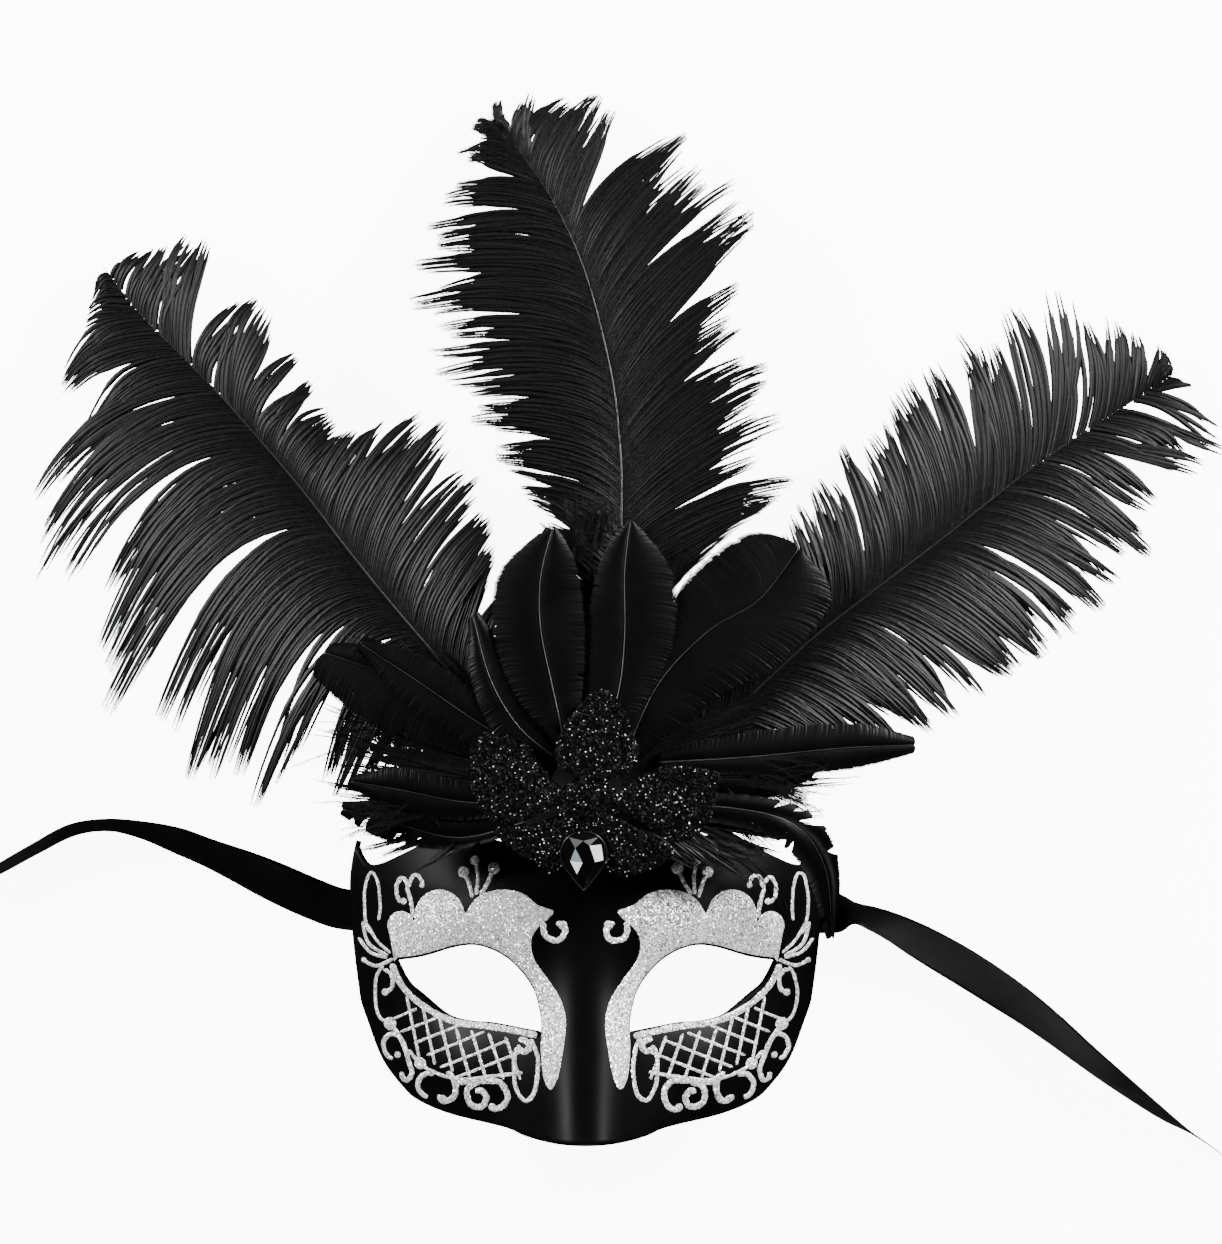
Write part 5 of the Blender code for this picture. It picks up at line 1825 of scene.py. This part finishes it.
@dataclass
class Gem(Maker):
    """The faceted drop gem under the flower, in its dark setting."""

    @staticmethod
    def base(plan: np.ndarray) -> np.ndarray:
        """Return the height of the gem's underside."""
        level = np.stack([np.zeros(len(plan)), plan[:, 1]], axis=1)
        return flower_height(level) + PETAL_THICKNESS + 1.6

    def build(self) -> None:
        """Cut the facets, paint reflections on the chosen ones and build the setting."""
        girdle = np.array(GEM_GIRDLE)
        crown = np.array(GEM_CROWN)
        plan = np.concatenate([girdle, crown[:, :2]])
        heights = self.base(plan) + np.concatenate([np.full(len(girdle), 0.6), crown[:, 2]])
        rim = len(girdle)
        edges = [(k, (k + 1) % rim) for k in range(rim)]
        facets = [facet for kind in PAINTED_REFLECTION_FACETS.values() for facet in kind]
        edges += [(rim + a, rim + b) for facet in facets for a, b in zip(facet, facet[1:] + facet[:1])]
        filled = geometry.delaunay_2d_cdt([Vector(point) for point in plan], edges, [], 1, WELD)
        bottom = np.column_stack([girdle * 0.94 + girdle.mean(axis=0) * 0.06, self.base(girdle)])
        foot = len(plan)
        loop = np.arange(rim)
        sides = np.stack([loop, np.roll(loop, -1), np.roll(loop, -1) + foot, loop + foot], axis=1)
        under = np.array([(foot, foot + k, foot + k + 1) for k in range(1, rim - 1)])
        triangles = np.concatenate([np.array(filled[2]), under])
        vertices = np.concatenate([np.column_stack([plan, heights]), bottom])
        store = MeshStore()
        store.add(vertices, sides, triangles)
        gem = self.bench.piece("faceted_drop_gem", store, self.finishes.gem, "gem_glass", ("gem",),
                               smooth=False)
        # Painted reflections: the chosen facets take a near-white or a pale blue-grey finish.
        for kind, material in (("silver", self.finishes.painted_reflection), ("pale", self.finishes.pale_painted_reflection)):
            gem.data.materials.append(material)
            index = len(gem.data.materials) - 1
            for facet in PAINTED_REFLECTION_FACETS[kind]:
                outline = plan[np.array(facet) + rim]
                for face in gem.data.polygons:
                    if max(face.vertices) < foot:
                        middle = np.array([plan[v] for v in face.vertices]).mean(axis=0)[None]
                        if inside(middle, outline)[0]:
                            face.material_index = index
        self.setting(girdle)

    def setting(self, girdle: np.ndarray) -> None:
        """Build the setting: a shallow cup with a rolled rim."""
        middle = girdle.mean(axis=0)
        edge = spaced(smooth_path([tuple(row) for row in girdle], 3, closed=True, corners=frozenset({4})), 60)
        rings = []
        for scale, rise in CUP_PROFILE:
            row = middle + (edge - middle) * scale
            rings.append(np.column_stack([row, self.base(row) + rise]))
        store = MeshStore()
        store.add_grid(np.stack(rings)[:, ::-1])
        self.bench.piece("gem_cup", store, self.finishes.setting, "gem_setting", ("gem_setting",))


@dataclass
class Backing(Maker):
    """What holds the trim on: the felt pad, and hot glue under it, through it and at the ribbons' roots."""

    seed: int = 41

    def blob(self, name: str, node: str, centre: Point, radii: Point, strands: int = 0) -> None:
        """Pour one lump of hot glue: a flattened ball with a rippled skin, and a few drawn threads."""
        rng = np.random.default_rng(self.seed + len(name))
        rows, columns = 18, 36
        tilt = np.linspace(0.02, math.pi - 0.02, rows)[:, None]
        turn = (np.arange(columns + 1) % columns * 2 * math.pi / columns)[None, :]
        waves = rng.uniform(0, 2 * math.pi, 4)
        ripple = (1.0 + 0.05 * np.sin(3 * turn + waves[0]) * np.sin(tilt)
                  + 0.03 * np.sin(5 * turn + 4 * tilt + waves[1]))
        x = centre[0] + radii[0] * np.sin(tilt) ** 0.7 * np.cos(turn) * ripple
        y = centre[1] + radii[1] * np.sin(tilt) ** 0.7 * np.sin(turn) * ripple
        z = centre[2] + radii[2] * np.cos(tilt) + 0.0 * turn
        store = MeshStore()
        store.add_grid(np.stack([x, y, z], axis=2))
        for _ in range(strands):
            turned_by = rng.uniform(0, 2 * math.pi)
            out = np.array([math.cos(turned_by), math.sin(turned_by), 0.0])
            start = np.array(centre) + out * np.array(radii) * 0.9
            steps = np.linspace(0, 1, 10)
            path = np.array([start + out * s * 4.0 + SKY * 0.25 * math.sin(s * 3) for s in steps])
            store.add_tube(path, 0.12 * (1.1 - steps), 6)
        self.bench.piece(name, store, self.finishes.glue, "clear_glue", (node,))

    def felt(self) -> None:
        """Cut the felt disc, with a fuzzy edge, and lay it under the butts."""
        rng = np.random.default_rng(self.seed)
        turn = circle(220)
        wobble = 1.0 + rng.normal(0.0, 0.004, len(turn))
        outline = [(26.0 * math.cos(a) * w, 70.0 + 25.0 * math.sin(a) * w) for a, w in zip(turn, wobble)]
        plan = Plan.fill(outline, [], 1.2)
        rough = rng.uniform(-0.08, 0.08, (2, len(plan.vertices)))
        low = 46.9
        store = MeshStore()
        store.add_slab(plan, low + 1.15 + rough[0], low + rough[1])
        pad = self.bench.piece("felt_disc", store, self.finishes.felt, "felt", ("felt_pad",))

    def bed(self) -> None:
        """Build the glue between the brow and the felt, as a grid that follows the brow."""
        rng = np.random.default_rng(self.seed + 7)
        xs, ys = np.linspace(-17.0, 17.0, 40), np.linspace(44.6, 50.6, 12)
        x, y = np.meshgrid(xs, ys)
        across = (np.clip((17.0 - np.abs(x)) / 2.0, 0.0, 1.0)
                  * np.clip((3.0 - np.abs(y - 47.6)) / 0.8, 0.0, 1.0))
        foot = FORM.height(x, y) + 0.06
        head = foot + (46.5 - foot) * (0.3 + 0.7 * np.sqrt(across)) + rng.uniform(-0.08, 0.0, x.shape)
        rows_y = y + 0.25 * np.sin(x * 0.9)
        store = MeshStore()
        top, under = (np.stack([x, rows_y, edge], axis=2) for edge in (head, foot))
        store.add_grid(top)
        store.add_grid(under[::-1])
        rim = [(0, slice(None)), (slice(None), -1), (-1, slice(None, None, -1)), (slice(None, None, -1), 0)]
        for row, column in rim:
            store.add_grid(np.stack([under[row, column], top[row, column]], axis=0))
        self.bench.piece("hot_glue_bed", store, self.finishes.glue, "clear_glue", ("glue_bed",))

    def build(self) -> None:
        """Build the felt and the glue."""
        self.felt()
        self.bed()
        self.blob("hot_glue_post", "glue_post", (0.0, 71.0, 57.6), (4.6, 4.6, 9.0), 0)
        for side in Side:
            self.blob(f"hot_glue_pad_{side.name.lower()}", f"glue_pad_{side.name.lower()}",
                      (side.value * 75.0, 24.0, 1.9), (4.5, 6.0, 0.85), 2)


# ---------------------------------------------------------------------------------------------------
# Making the mask
# ---------------------------------------------------------------------------------------------------

PLUME_LOOKS: dict[str, tuple[BarbLook, BarbLook]] = {
    "plume_centre": (
        BarbLook(fronds=44, strands=10, lean=38, sweep=0.10, pull=0.5, cap=0.42, part=0.72, down=3.6,
                 open_tip=0.9, longer=1.03, down_spacing=0.6),
        BarbLook(fronds=44, strands=10, lean=36, sweep=0.12, pull=0.5, cap=0.46, part=0.76, down=3.6,
                 open_tip=0.9, longer=1.06, down_spacing=0.6)),
    "plume_left": (
        BarbLook(fronds=38, strands=12, lean=44, sweep=0.03, pull=0.72, part=0.68, hang=(0.0, -0.12),
                 cap=0.62, ragged=0.22, longer=1.03, wisps=0.7, open_tip=0.6, down=2.6, down_spacing=0.7),
        BarbLook(fronds=36, strands=11, lean=40, sweep=0.08, pull=0.5, part=0.85, cap=0.6, longer=1.06,
                 wisps=1.1, open_tip=0.45, down_spacing=0.8)),
    "plume_right": (
        BarbLook(fronds=44, strands=11, lean=38, sweep=0.08, pull=0.45, part=0.8, cap=0.5, longer=1.08,
                 down=2.6, open_tip=0.42, down_spacing=0.7),
        BarbLook(fronds=44, strands=12, lean=38, sweep=0.10, pull=0.5, part=0.8, cap=0.6, longer=1.12,
                 down=2.8, open_tip=0.42, down_spacing=0.7)),
}


GOOSE_HABITS: dict[str, dict[str, float]] = {
    "feather_low_left": {"splits": 7, "split_depth": 0.85, "gap": 1.8, "barbs": 70},
    "feather_droop_right": {"splits": 5, "split_depth": 0.75, "gap": 1.6, "barbs": 80},
    "feather_side_right": {"splits": 2, "split_depth": 0.5, "gap": 0.5},
}


def main() -> None:
    """Build the mask."""
    logging.basicConfig(level=logging.INFO, format="%(message)s")
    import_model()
    bench = Bench.from_frame()
    finishes = FinishBook()
    Studio(bench).build()
    RibbonTie(bench, finishes, Side.LEFT, LEFT_RIBBON).build()
    RibbonTie(bench, finishes, Side.RIGHT, RIGHT_RIBBON).build()
    MaskShell(bench, finishes).build()
    GlitterOrnament(bench, finishes).build()
    Backing(bench, finishes).build()
    for number, plan in enumerate(PLUME_PLANS):
        OstrichPlume(bench, finishes, plan, PLUME_LOOKS[plan.name], seed=number + 1).build()
    for number, plan in enumerate(GOOSE_PLANS):
        habit = GOOSE_HABITS.get(plan.name, {})
        GooseFeather(bench, finishes, plan, seed=number + 31, **habit).build()
    LooseDown(bench, finishes).build()
    Flower(bench, finishes).build()
    Gem(bench, finishes).build()


if __name__ == "__main__":
    main()
